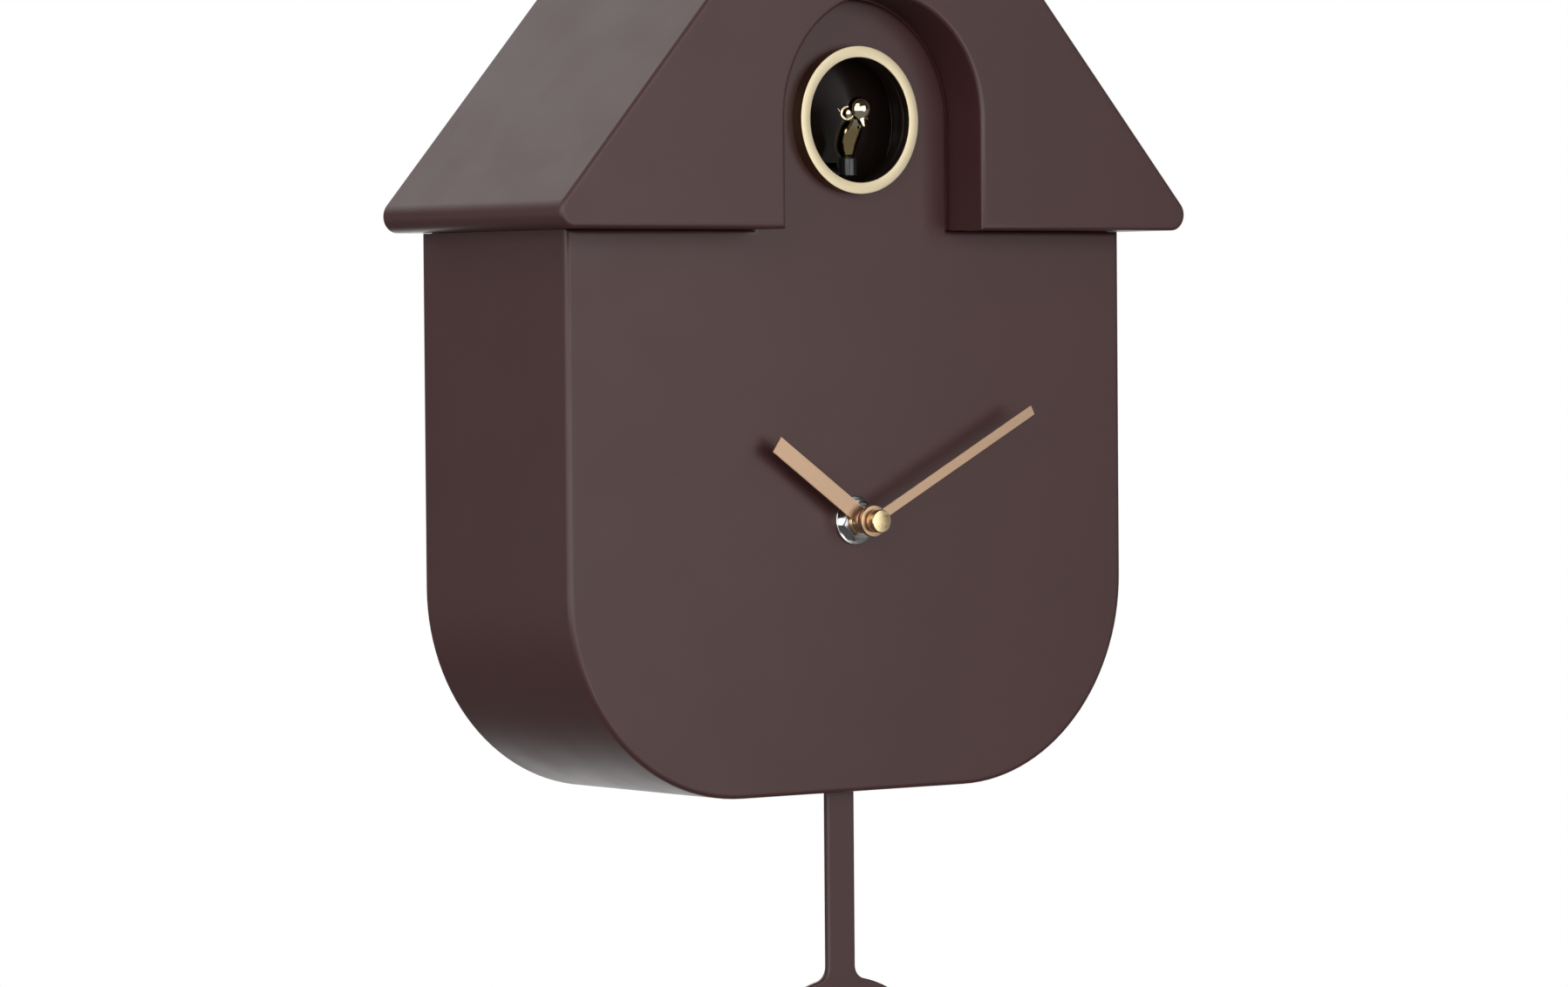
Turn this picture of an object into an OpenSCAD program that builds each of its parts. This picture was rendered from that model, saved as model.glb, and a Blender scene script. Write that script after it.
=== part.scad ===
// Wall-hung quartz cuckoo clock: a house-shaped case with a hood roof, a bird
// window, two hands and a swinging pendulum. The origin is the centre of the
// hanging hole where it meets the wall: +Z is up, and the clock faces -Y.

/* [House body] */
// Width of the body across its side walls
body_w = 191; // [188:0.5:194]
// Distance from the wall to the body's front face
body_d = 69.5; // [69:0.5:71]
// Height of the body from its bottom to the eaves
body_h = 154; // [152:0.5:156]
// Radius of the two lower corners of the body
corner_r = 57; // [52:1:58]
// Wall thickness of the moulded shells
wall = 2.5; // [2.3:0.1:2.6]

/* [Roof] */
// Width of the roof across its eaves
roof_w = 215; // [213:0.5:217]
// Distance from the wall to the front of the gable
roof_d = 84.5; // [83:0.5:87]
// Slope of the roof in degrees
pitch = 48.7; // [48:0.1:50]
// Radius of the eaves and of the ridge
eave_r = 4.5; // [4:0.1:5]
// Half the width of the arched recess in the gable
arch_r = 33.8; // [33:0.1:35]

/* [Bird window] */
// Height of the window's centre above the body's bottom
window_h = 184; // [183:0.5:185]
// Inner radius of the window ring
ring_in = 17.1; // [16.8:0.1:17.4]
// Outer radius of the window ring
ring_out = 20.2; // [19.8:0.1:21]
// How far the ring stands out of the front
ring_proud = 4; // [3:0.5:5]
// How far the bird bows, in degrees
bird_bow = 8; // [4:1:8]

/* [Hands] */
// Height of the hands' axis above the body's bottom
axis_h = 74.5; // [74:0.5:75]
// Length of the minute hand from its axis
minute_len = 63.8; // [60:0.1:66]
// Length of the hour hand from its axis
hour_len = 37.2; // [34:0.1:40]
// Width of the minute hand
minute_w = 2.8; // [2.4:0.1:3]
// Width of the hour hand
hour_w = 4.9; // [4.4:0.1:5]
// Minutes past ten that the hands show
minutes_past_ten = 10.4; // [0:0.1:59]

/* [Pendulum] */
// Width of the pendulum rod
rod_w = 9.3; // [8.8:0.1:9.6]
// Thickness of the pendulum rod and bob
rod_t = 2; // [1.6:0.1:2.2]
// Distance of the rod's front behind the body's front face
rod_setback = 7; // [6.8:0.1:7.1]
// Diameter of the bob
bob_d = 70; // [64:1:74]
// Distance from the body's bottom down to the top of the bob
bob_drop = 51.6; // [48:0.1:56]
// Height of the pendulum's pivot above the body's bottom
pivot_h = 38; // [37:0.5:38]
// Swing of the pendulum to each side, in degrees
swing = 9; // [5:1:9]

/* [Hanging] */
// Height of the hanging hole above the body's bottom
hang_h = 230; // [226:1:234]
// Radius of the hanging hole, which passes a screw's head
hang_r = 4.5; // [4.3:0.1:4.7]
// Radius of the slot that the screw's shank drops into
slot_r = 2.2; // [2:0.1:2.3]
// Height of the slot's end above the hanging hole's centre
slot_rise = 11; // [9:0.5:13]

/* [Hidden] */
$fn = 48;

shell_color = "#544445";
metal_color = "#C3A180";
gap = 0.3;                          // free space between separate pieces
fit = 0.05;                         // radial clearance of a running fit

// Planes of the case, along Y
front_y = -body_d;
panel_y = front_y + wall;           // inner face of the front panel
body_back_y = -1.5;                 // rear edge of the body's walls
cover_y = body_back_y - wall;       // inner face of the back cover

// Roof outline: three circles, at the two eaves and at the ridge
eave_x = roof_w / 2 - eave_r;
eave_z = body_h + eave_r;
ridge_z = eave_z + eave_x * tan(pitch);
ridge_flat = 2;                     // half the flat on the panels under the ridge

function up(h) = h - hang_h;        // height above the body's bottom, in this frame
// Height of the roof's slope at x, at a given depth under its outer face
function slope_h(x, depth) = eave_z + (eave_r - depth + (eave_x - x) * sin(pitch)) / cos(pitch);

// Screw places: [x, height above the body's bottom]
cover_screw_places = [for (s = [-1, 1]) each [[s * 84, 120], [s * 60, 16], [s * 45, 200]]];
roof_screw_places = [for (s = [-1, 1]) each [[s * 62, 172], [s * 20, 236]]];
boss_r = 3.5;
pilot_r = 1.3;
shank_r = 1.25;
head_r = 3;
head_t = 1.7;

// Battery door and its hinge at the top edge
door_w = 74;
door_low = 16;
door_top = 99;                      // height of the hinge axis
door_t = 2;
hinge_y = -4;
hinge_r = 1.2;
barrel_r = 2.3;
lug_w = 3.5;

// Bird window and what stands behind it
spigot_r = ring_in + 1;
chamber_r = 22;
chamber_t = 1.5;
chamber_back_y = panel_y + 9;       // outer face of the chamber's back wall
lever_y = panel_y + 5.2;            // axis of the bird's rocking lever
lever_h = 169.7;
lever_t = 1.4;
lever_w = 4.6;
lever_pin_r = 0.75;
post_y = panel_y - 0.7;
post_r = 2.65;
tail_y = chamber_back_y + 14;
solenoid_y = chamber_back_y + 10;
solenoid_low = 138;
solenoid_top = 161;
flange_t = 1.2;

// Hub of the hands, along Y, counted forward from the front face
washer_t = 0.8;
nut_t = 2.5;
boss_len = 3.8;
hour_tip_y = front_y - 5.9;
hour_hand_y = front_y - 5;
minute_hand_y = front_y - 8.1;
minute_tip_y = front_y - 9.9;
hand_t = 0.5;
thread_r = 3.9;
hour_tube_r = 2.5;
minute_shaft_r = 1.6;
minute_angle = 6 * minutes_past_ten;
hour_angle = 300 + minutes_past_ten / 2;

// Clock movement: wheels are placed round the hands' axis
case_w = 56;
case_low = axis_h - 31;
case_top = axis_h + 27;
case_t = 1.5;
case_back_y = panel_y + 16.5;
battery_r = 7.1;
battery_len = 50.5;
pocket_top = case_low + 17;

hour_mod = 0.32;
minute_mod = 1 / 3;
centre_mod = 0.22;
third_mod = 0.2;
hour_teeth = 40;
hour_pinion_teeth = 10;
motion_teeth = 36;
minute_pinion_teeth = 12;
centre_teeth = 60;
third_pinion_teeth = 8;
third_teeth = 64;
seconds_pinion_teeth = 8;
seconds_teeth = 60;

motion_dist = minute_mod * (minute_pinion_teeth + motion_teeth) / 2;
third_dist = centre_mod * (centre_teeth + third_pinion_teeth) / 2;
seconds_dist = third_mod * (third_teeth + seconds_pinion_teeth) / 2;
motion_dir = 90;
third_dir = -20;
seconds_dir = 20;
motion_place = [0, motion_dist];
third_place = third_dist * [cos(third_dir), sin(third_dir)];
seconds_place = third_place + seconds_dist * [cos(seconds_dir), sin(seconds_dir)];

// Levels of the wheels behind the movement's front plate
wheel_t = 0.8;
hour_level = panel_y + case_t + 0.3;
motion_level = hour_level + 1.6;
centre_level = motion_level + 1.6;
third_level = centre_level + 1.4;
seconds_level = third_level + 1.4;
stator_level = seconds_level + 1.3;
pivot_r = 0.5;

// Pendulum: rod and bob share one plane, the hanger hooks in behind it
rod_y = front_y + rod_setback;      // front face of rod and bob
hanger_y = rod_y + rod_t;
hanger_t = 1.8;
pin_r = 1;
magnet_h = 14;
magnet_r = 5;
magnet_t = 2;
drive_y = hanger_y + hanger_t + magnet_t + 0.7;
drive_d = 15;
drive_w = 34;
drive_low = 4;
drive_top = 43;
bob_h = -bob_drop - bob_d / 2;
slot_w = rod_w + 2 * pivot_h * tan(swing) + 2;
slot_front_y = rod_y - 3.2;
slot_back_y = rod_y + 5.2;

// Sound unit on the back cover
speaker_place = [63, 70];
speaker_r = 23;
board_y = cover_y - 6.5;
board_t = 1.6;
board_x = -63;
knob_place = [-63, 56];
knob_r = 6;
switch_place = [-63, 88];
holder_low = 17;
holder_top = 49;
holder_w = 60;
holder_d = 17;
cell_y = cover_y - 1.2 - battery_r;

// Places that the internal leads pass through: [x, y, height above the body's bottom]
lead_r = 0.6;
battery_lead = [[-32, -12, 33], [-38, -13, 34], [-44, -14, 44], [-50, -14, 52]];
speaker_lead = [[-50, -14, 92], [-30, -22, 108], [20, -24, 108], [50, -22, 84], [60, -26, 76]];
solenoid_lead = [[-56, -14, 96], [-50, -24, 120], [-20, -38, 140], [-8.5, -46, 146]];
drive_lead = [[24, -50, 58], [32, -46, 50], [30, -44, 34], [18, -46, 28]];

// Extrudes an outline drawn with x and height from one Y plane to another
module along_y(from, to) {
    translate([0, to, 0]) rotate([90, 0, 0]) linear_extrude(to - from) children();
}

// A round bar along Y
module bar_y(x, h, r, from, to) {
    translate([x, to, up(h)]) rotate([90, 0, 0]) cylinder(r = r, h = to - from);
}

// A box from two opposite corners, its heights counted from the body's bottom
module block(low, high) {
    translate([low[0], low[1], up(low[2])]) cube(high - low);
}

// Body outline below the eaves, drawn inset by a distance
module body_outline(inset) {
    half = body_w / 2 - inset;
    centre = body_w / 2 - corner_r;
    translate([0, up(0)]) {
        for (s = [-1, 1]) translate([s * centre, corner_r]) circle(corner_r - inset, $fn = 96);
        translate([-centre, inset]) square([2 * centre, corner_r]);
        translate([-half, corner_r]) square([2 * half, body_h - corner_r]);
    }
}

// Gable outline above the eaves, at a depth under the roof's face and a given half width
module gable_outline(depth, half, low) {
    translate([0, up(0)])
        polygon([[-half, low], [half, low], [half, slope_h(half, depth)],
                 [ridge_flat, slope_h(ridge_flat, depth)], [-ridge_flat, slope_h(ridge_flat, depth)],
                 [-half, slope_h(half, depth)]]);
}

// Roof outline, drawn inset by a distance
module roof_outline(inset) {
    translate([0, up(0)]) hull() {
        for (s = [-1, 1]) translate([s * eave_x, eave_z]) circle(eave_r - inset, $fn = 32);
        translate([0, ridge_z]) circle(eave_r - inset, $fn = 32);
    }
}

// Arch of the recess: a half circle on straight sides that run down past the eaves
module arch_outline(radius, low) {
    translate([0, up(window_h)]) circle(radius, $fn = 96);
    translate([-radius, up(low)]) square([2 * radius, window_h - low]);
}

module body_shell() color(shell_color) {
    difference() {
        union() {
            difference() {
                along_y(front_y, body_back_y) body_outline(0);
                along_y(panel_y, 1) body_outline(wall);
                block([-body_w / 2 + wall, panel_y, corner_r], [body_w / 2 - wall, 1, body_h + 1]);
            }
            along_y(front_y, panel_y) gable_outline(wall + gap, body_w / 2 - gap, body_h);
            for (p = cover_screw_places) bar_y(p[0], p[1], boss_r, panel_y - 0.5, cover_y);
            for (s = [-1, 1], h = [10, 40]) bar_y(s * 14.5, h, 1.8, panel_y - 0.5, drive_y);
        }
        bar_y(0, window_h, spigot_r + 0.1, front_y - 1, panel_y + 1);
        bar_y(0, axis_h, thread_r + 0.2, front_y - 1, panel_y + 1);
        block([-slot_w / 2, slot_front_y, -1], [slot_w / 2, slot_back_y, wall + 1]);
        for (p = cover_screw_places) bar_y(p[0], p[1], pilot_r, cover_y - 14, cover_y + 1);
        for (p = roof_screw_places) bar_y(p[0], p[1], pilot_r + 0.3, front_y - 1, panel_y + 1);
    }
}

module roof_shell() color(shell_color) {
    difference() {
        union() {
            difference() {
                along_y(-roof_d, 0) roof_outline(0);
                along_y(-roof_d + wall, 1) roof_outline(wall);
            }
            intersection() {
                along_y(-roof_d + 0.5, front_y) arch_outline(arch_r + 2, body_h);
                along_y(-roof_d, 0) roof_outline(1);
            }
            for (p = roof_screw_places) bar_y(p[0], p[1], boss_r, -roof_d + 1, front_y - 0.1);
        }
        along_y(-roof_d - 1, front_y + 1) arch_outline(arch_r, body_h - 5);
        block([-body_w / 2 - 0.15, front_y - 0.1, body_h - 1], [body_w / 2 + 0.15, 1, body_h + wall + 1]);
        for (p = roof_screw_places) bar_y(p[0], p[1], pilot_r, front_y - 10, front_y + 1);
    }
}

module back_cover() color("#3A3031") {
    difference() {
        union() {
            along_y(cover_y, body_back_y) intersection() {
                union() {
                    body_outline(wall + gap);
                    gable_outline(wall + gap, body_w / 2 - wall - gap, corner_r);
                }
                translate([-body_w, up(0)]) square([2 * body_w, ridge_z]);
            }
            along_y(body_back_y, 0) gable_outline(wall + gap, eave_x - 1, body_h + wall + gap);
            for (s = [-1, 1]) bar_y(s * 55, 34, 6, cover_y + 0.5, 0);
            for (s = [-1, 1]) translate([s * (door_w / 2 + gap + lug_w / 2), 0, 0])
                block([-lug_w / 2, hinge_y - 3, door_top - 4], [lug_w / 2, body_back_y, door_top + 4]);
            for (h = [48, 94]) bar_y(board_x + 15, h, 2.2, board_y, cover_y + 0.5);
        }
        // keyhole: the head passes the round hole, the shank drops into the slot above it
        bar_y(0, hang_h, hang_r, -5, 1);
        along_y(-5, 1) union() {
            translate([-slot_r, 0]) square([2 * slot_r, slot_rise]);
            translate([0, slot_rise]) circle(slot_r);
        }
        block([-door_w / 2 - gap, -6, door_low - gap], [door_w / 2 + gap, 1, door_top + barrel_r + gap]);
        for (s = [-1, 1]) translate([s * (door_w / 2 + 2), hinge_y, up(door_top)]) rotate([0, 90, 0])
            cylinder(r = hinge_r + fit, h = 4.4, center = true);
        for (p = cover_screw_places) {
            bar_y(p[0], p[1], pilot_r + 0.3, -6, 1);
            bar_y(p[0], p[1], head_r + 0.2, body_back_y - head_t, 1);
        }
        for (ring = [0:3], i = [0:max(0, 6 * ring - 1)])
            bar_y(speaker_place[0] + 5 * ring * cos(60 * i / max(ring, 1)),
                  speaker_place[1] + 5 * ring * sin(60 * i / max(ring, 1)), 1.3, -6, 1);
        bar_y(knob_place[0], knob_place[1], knob_r + 0.5, -6, 1);
        block([switch_place[0] - 2.6, -6, switch_place[1] - 6], [switch_place[0] + 2.6, 1, switch_place[1] + 6]);
    }
}

module battery_door() color("#3A3031") {
    block([-door_w / 2, body_back_y - 0.2 - door_t, door_low], [door_w / 2, body_back_y - 0.2, door_top]);
    translate([0, hinge_y, up(door_top)]) rotate([0, 90, 0]) {
        cylinder(r = barrel_r, h = door_w, center = true);
        cylinder(r = hinge_r, h = door_w + 2 * lug_w - 0.6, center = true);
    }
    // ribs for the thumb
    for (i = [0:4])
        block([-10, body_back_y - 1, door_low + 5 + 3 * i], [10, body_back_y + 0.5, door_low + 6.4 + 3 * i]);
}

// A pan-head screw whose head faces the wall, its head starting at a Y plane
module screw(place, head_y, length) {
    bar_y(place[0], place[1], head_r, head_y, head_y + head_t);
    difference() {
        bar_y(place[0], place[1], shank_r, head_y - length, head_y + head_t);
        for (a = [0, 90]) translate([place[0], head_y + head_t, up(place[1])]) rotate([0, a, 0])
            cube([2.4, 1.4, 0.6], center = true);
    }
}

module cover_screws() color("silver") {
    for (p = cover_screw_places) screw(p, body_back_y - head_t, 12);
}

module roof_screws() color("silver") {
    for (p = roof_screw_places) screw(p, panel_y, 11);
}

module window_ring() color("#D5C7A5") {
    translate([0, panel_y + 1, up(window_h)]) rotate([90, 0, 0]) rotate_extrude($fn = 96)
        polygon([[ring_in, 0], [spigot_r, 0], [spigot_r, wall + 1], [ring_out, wall + 1],
                 [ring_out, wall + ring_proud + 0.7], [ring_out - 0.3, wall + ring_proud + 1],
                 [ring_in + 0.3, wall + ring_proud + 1], [ring_in, wall + ring_proud + 0.7]]);
}

module bird_chamber() color("#15100F") {
    difference() {
        union() {
            difference() {
                bar_y(0, window_h, chamber_r + chamber_t, panel_y, chamber_back_y);
                bar_y(0, window_h, chamber_r, panel_y - 1, chamber_back_y - chamber_t);
            }
            for (s = [-1, 1]) translate([s * 3.5, 0, 0])
                block([-0.9, lever_y - 1.9, lever_h - 2.4], [0.9, chamber_back_y - 0.5, lever_h + 2.4]);
        }
        block([-lever_w / 2 - 0.3, chamber_back_y - 2, lever_h - 3], [lever_w / 2 + 0.3, chamber_back_y + 1, lever_h + 3]);
        translate([0, lever_y, up(lever_h)]) rotate([0, 90, 0]) cylinder(r = lever_pin_r + 0.01, h = 12, center = true);
    }
}

module bird() color("#CFAE68") {
    translate([0, post_y, up(lever_h)]) {
        hull() {
            translate([0, 0.4, 7.4]) sphere(2.6, $fn = 24);
            translate([0, -1.6, 12.6]) sphere(3.9, $fn = 24);
        }
        translate([0, -3.2, 17]) sphere(3.7, $fn = 48);
        translate([0, -6, 16.2]) rotate([105, 0, 0]) cylinder(r1 = 1.6, r2 = 0.3, h = 3.4, $fn = 24);
        translate([0, 1.2, 12.2]) rotate([-28, 0, 0]) cylinder(r1 = 1.2, r2 = 0.4, h = 6.6, $fn = 24);
    }
}

module bird_lever() color("#2A2626") {
    low = lever_h - lever_t / 2;
    high = lever_h + lever_t / 2;
    difference() {
        union() {
            block([-lever_w / 2, post_y, low], [lever_w / 2, tail_y, high]);
            translate([0, lever_y, up(lever_h)]) rotate([0, 90, 0]) cylinder(r = 1.6, h = lever_w, center = true);
            translate([0, post_y, up(low)]) cylinder(r = post_r, h = 7.4);
        }
        translate([0, lever_y, up(lever_h)]) rotate([0, 90, 0])
            cylinder(r = lever_pin_r + fit, h = lever_w + 2, center = true);
        translate([0, post_y + 0.4, up(lever_h + 7.4)]) sphere(2.8, $fn = 48);
    }
}

module lever_weight() color("#B89A55") {
    high = lever_h + lever_t / 2;
    block([-4, tail_y - 8, high], [4, tail_y, high + 6.5]);
}

module lever_pin() color("silver") {
    translate([0, lever_y, up(lever_h)]) rotate([0, 90, 0]) cylinder(r = lever_pin_r, h = 9, center = true);
}

module solenoid_frame() color("#8A8A8A") {
    difference() {
        union() {
            block([-9, chamber_back_y, solenoid_low - flange_t], [9, chamber_back_y + flange_t, solenoid_top + 3]);
            for (h = [solenoid_low - flange_t, solenoid_top])
                block([-9, chamber_back_y, h], [9, solenoid_y + 8, h + flange_t]);
        }
        translate([0, solenoid_y, up(solenoid_top - 1)]) cylinder(r = 1.6, h = 5);
    }
}

module solenoid_coil() color("#B4602F") {
    translate([0, solenoid_y, up(solenoid_low)]) difference() {
        cylinder(r = 7.5, h = solenoid_top - solenoid_low);
        translate([0, 0, 1.5]) cylinder(r = 2.5, h = solenoid_top - solenoid_low);
    }
}

module solenoid_plunger() color("#9A9A9A") {
    translate([0, solenoid_y, up(solenoid_low + 2)]) cylinder(r = 2.4, h = solenoid_top - solenoid_low - 5);
    translate([0, solenoid_y, up(solenoid_top - 4)]) cylinder(r = 1.4, h = lever_h - lever_t / 2 - gap - solenoid_top + 4);
}

// A spur wheel with thinned, straight-sided teeth, one of them centred on +x
module gear_outline(teeth, mod) {
    step = 360 / teeth;
    root = mod * (teeth / 2 - 1.2);
    tip = mod * (teeth / 2 + 0.8);
    polygon([for (i = [0:teeth - 1], k = [[root, -0.27], [tip, -0.1], [tip, 0.1], [root, 0.27]])
             k[0] * [cos(step * (i + k[1])), sin(step * (i + k[1]))]]);
}

// A spur wheel at a place round the hands' axis, its tooth turned to a direction
module wheel(place, teeth, mod, turn, level, thick) {
    along_y(level, level + thick) translate([place[0], up(axis_h) + place[1]]) rotate(turn) gear_outline(teeth, mod);
}

// An arbor at a place round the hands' axis
module arbor(place, r, from, to) {
    bar_y(place[0], axis_h + place[1], r, from, to);
}

module hour_wheel() color("#D8D4C8") {
    difference() {
        union() {
            wheel([0, 0], hour_teeth, hour_mod, motion_dir, hour_level, 1.2);
            arbor([0, 0], hour_tube_r, hour_tip_y, hour_level + 0.6);
        }
        arbor([0, 0], minute_shaft_r + fit, hour_tip_y - 1, hour_level + 3);
    }
}

module minute_arbor() color("#D8D4C8") {
    arbor([0, 0], minute_shaft_r, minute_tip_y, motion_level);
    wheel([0, 0], minute_pinion_teeth, minute_mod, motion_dir, motion_level, 1.6);
    wheel([0, 0], centre_teeth, centre_mod, third_dir, centre_level, wheel_t);
    arbor([0, 0], pivot_r, centre_level, case_back_y - 0.3);
}

module motion_wheel() color("#D8D4C8") {
    wheel(motion_place, hour_pinion_teeth, hour_mod, motion_dir + 180 + 18, hour_level, 1.2);
    wheel(motion_place, motion_teeth, minute_mod, motion_dir + 180 + 5, motion_level - 0.4, 1.6);
    arbor(motion_place, 0.75, panel_y + 0.4, case_back_y + 2);
}

module third_wheel() color("#D8D4C8") {
    wheel(third_place, third_pinion_teeth, centre_mod, third_dir + 180 + 22.5, centre_level - 0.2, 1.6);
    wheel(third_place, third_teeth, third_mod, seconds_dir, third_level, wheel_t);
    arbor(third_place, pivot_r, centre_level - 0.6, case_back_y - 0.3);
}

module seconds_wheel() color("#D8D4C8") {
    wheel(seconds_place, seconds_pinion_teeth, third_mod, seconds_dir + 180 + 22.5, third_level - 0.2, 1.6);
    wheel(seconds_place, seconds_teeth, third_mod, 0, seconds_level, wheel_t);
    arbor(seconds_place, pivot_r, third_level - 0.6, case_back_y - 0.3);
}

module setting_knob() color("#E8E4DC") {
    difference() {
        arbor(motion_place, 6.5, case_back_y + 0.3, case_back_y + 4);
        arbor(motion_place, 0.75, case_back_y, case_back_y + 2);
        for (a = [0:30:330]) translate([6.9 * cos(a), 0, 6.9 * sin(a)])
            arbor(motion_place, 0.8, case_back_y, case_back_y + 5);
    }
}

module movement_front() color("#1E1E20") {
    difference() {
        union() {
            block([-case_w / 2, panel_y, case_low], [case_w / 2, panel_y + case_t, case_top]);
            bar_y(0, axis_h, thread_r, front_y - boss_len, panel_y + 0.5);
        }
        bar_y(0, axis_h, hour_tube_r + fit, front_y - boss_len - 1, panel_y + case_t + 1);
        arbor(motion_place, 0.75 + fit, panel_y + 0.2, panel_y + 3);
    }
}

module movement_rear() color("#1E1E20") {
    difference() {
        block([-case_w / 2, panel_y + case_t, case_low], [case_w / 2, case_back_y, case_top]);
        block([-case_w / 2 + case_t, panel_y, pocket_top + case_t], [case_w / 2 - case_t, case_back_y - case_t, case_top - case_t]);
        block([-battery_len / 2 - 1, panel_y, case_low + case_t], [battery_len / 2 + 1, case_back_y + 1, pocket_top]);
        for (p = [[0, 0], third_place, seconds_place]) arbor(p, pivot_r + fit, case_back_y - 3, case_back_y + 1);
        arbor(motion_place, 0.75 + fit, case_back_y - 3, case_back_y + 1);
    }
}

module motor_rotor() color("#707078") {
    arbor([20.8, 9], 2.3, stator_level - 0.6, stator_level + 1.4);
    arbor([20.8, 9], 0.4, seconds_level, case_back_y - case_t);
}

module motor_stator() color("#9A9AA0") {
    difference() {
        block([-18, stator_level, axis_h + 5.5], [25, stator_level + 0.8, axis_h + 24]);
        block([-11, stator_level - 1, axis_h + 12.5], [13, stator_level + 2, axis_h + 25]);
        arbor([20.8, 9], 2.8, stator_level - 1, stator_level + 2);
        arbor(motion_place, 1.2, stator_level - 1, stator_level + 2);
    }
}

module motor_coil() color("#B4602F") {
    translate([0, stator_level + 0.4, up(axis_h + 19)]) rotate([0, 90, 0]) difference() {
        cylinder(r = 4, h = 20, center = true);
        cube([5, 1.2, 24], center = true);
    }
}

module movement_board() color("#2F6B3C") {
    block([-25, case_back_y - case_t - 2.6, axis_h - 12], [-11, case_back_y - case_t - 1.4, axis_h + 22]);
    block([-21, case_back_y - case_t - 3.8, axis_h - 4], [-14, case_back_y - case_t - 2.6, axis_h + 3]);
}

// An AA cell lying along X
module cell(y, h) {
    translate([0, y, up(h)]) rotate([0, 90, 0]) {
        cylinder(r = battery_r, h = battery_len - 1.5, center = true);
        translate([0, 0, battery_len / 2 - 1.5]) cylinder(r = 2.7, h = 1.5);
    }
}

module clock_battery() color("#3C6E8F") {
    cell(panel_y + case_t + 0.1 + battery_r, case_low + case_t + 0.4 + battery_r);
}

module fixing_washer() color("#C9CACC") {
    difference() {
        bar_y(0, axis_h, 6.7, front_y - washer_t, front_y);
        bar_y(0, axis_h, thread_r + fit, front_y - 2, front_y + 1);
    }
}

module fixing_nut() color("#C9CACC") {
    difference() {
        translate([0, front_y - washer_t, up(axis_h)]) rotate([90, 0, 0]) rotate(12) cylinder(r = 5.77, h = nut_t, $fn = 6);
        bar_y(0, axis_h, thread_r + fit, front_y - 6, front_y);
    }
}

// A flat bar from the axis out to a hand's tip, turned clockwise from twelve
module hand_bar(angle, width, length, tail, y) {
    along_y(y - hand_t, y) translate([0, up(axis_h)]) rotate(-angle)
        translate([-width / 2, -tail]) square([width, length + tail]);
}

module hour_hand() color(metal_color) {
    difference() {
        union() {
            hand_bar(hour_angle, hour_w, hour_len, 0, hour_hand_y);
            bar_y(0, axis_h, 3.6, hour_hand_y - 1, front_y - boss_len - 0.3);
        }
        bar_y(0, axis_h, hour_tube_r, front_y - 9, front_y);
    }
}

module minute_hand() color(metal_color) {
    difference() {
        union() {
            hand_bar(minute_angle, minute_w, minute_len, 0, minute_hand_y);
            bar_y(0, axis_h, 4.4, minute_hand_y - 0.9, minute_hand_y + 0.3);
            bar_y(0, axis_h, 2.7, minute_hand_y - 1.4, minute_hand_y + 1.5);
        }
        bar_y(0, axis_h, minute_shaft_r, front_y - 12, front_y);
    }
}

module hand_cap() color("#DAC397") {
    difference() {
        translate([0, minute_hand_y - 1.4, up(axis_h)]) rotate([90, 0, 0]) rotate_extrude()
            polygon([[0, 0], [3.15, 0], [3.15, 2.3], [2.8, 2.8], [0, 3]]);
        bar_y(0, axis_h, minute_shaft_r, minute_tip_y, front_y);
    }
}

module pendulum_rod() color(shell_color) {
    difference() {
        block([-rod_w / 2, rod_y, bob_h], [rod_w / 2, hanger_y, pivot_h - 6]);
        bar_y(0, bob_h, bob_d / 2, rod_y - 1, hanger_y + 1);
        bar_y(0, pivot_h - 11, 1.5, rod_y - 1, hanger_y + 1);
    }
}

module pendulum_bob() color(shell_color) {
    bar_y(0, bob_h, bob_d / 2, rod_y, hanger_y);
}

module pendulum_hanger() color("#2A2626") {
    difference() {
        union() {
            block([-5, hanger_y, 8], [5, hanger_y + hanger_t, pivot_h]);
            bar_y(0, pivot_h, 5, hanger_y, hanger_y + hanger_t);
            bar_y(0, pivot_h - 11, 1.45, rod_y - 0.6, hanger_y + 0.5);
            bar_y(0, pivot_h - 11, 2.2, rod_y - 1.2, rod_y);
        }
        bar_y(0, pivot_h, pin_r + fit, hanger_y - 1, hanger_y + hanger_t + 1);
    }
}

module pendulum_magnet() color("#A0A0A8") {
    bar_y(0, magnet_h, magnet_r, hanger_y + hanger_t, hanger_y + hanger_t + magnet_t);
}

module pendulum_pin() color("silver") {
    bar_y(0, pivot_h, pin_r, hanger_y - 1.6, drive_y + 3);
    bar_y(0, pivot_h, 2, hanger_y - 1.6, hanger_y - 0.4);
}

module pendulum_drive_case() color("#1E1E20") {
    difference() {
        block([-drive_w / 2, drive_y, drive_low], [drive_w / 2, drive_y + drive_d, drive_top]);
        block([-drive_w / 2 + 1.5, drive_y + 1, drive_low + 1.5], [drive_w / 2 - 1.5, drive_y + drive_d - 1.5, drive_top - 10]);
        bar_y(0, pivot_h, pin_r + 0.01, drive_y - 1, drive_y + 3);
    }
}

module pendulum_drive_coil() color("#B4602F") {
    difference() {
        bar_y(0, magnet_h, 7.5, drive_y + 1.2, drive_y + 9);
        bar_y(0, magnet_h, 2.2, drive_y, drive_y + 10);
    }
}

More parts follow.
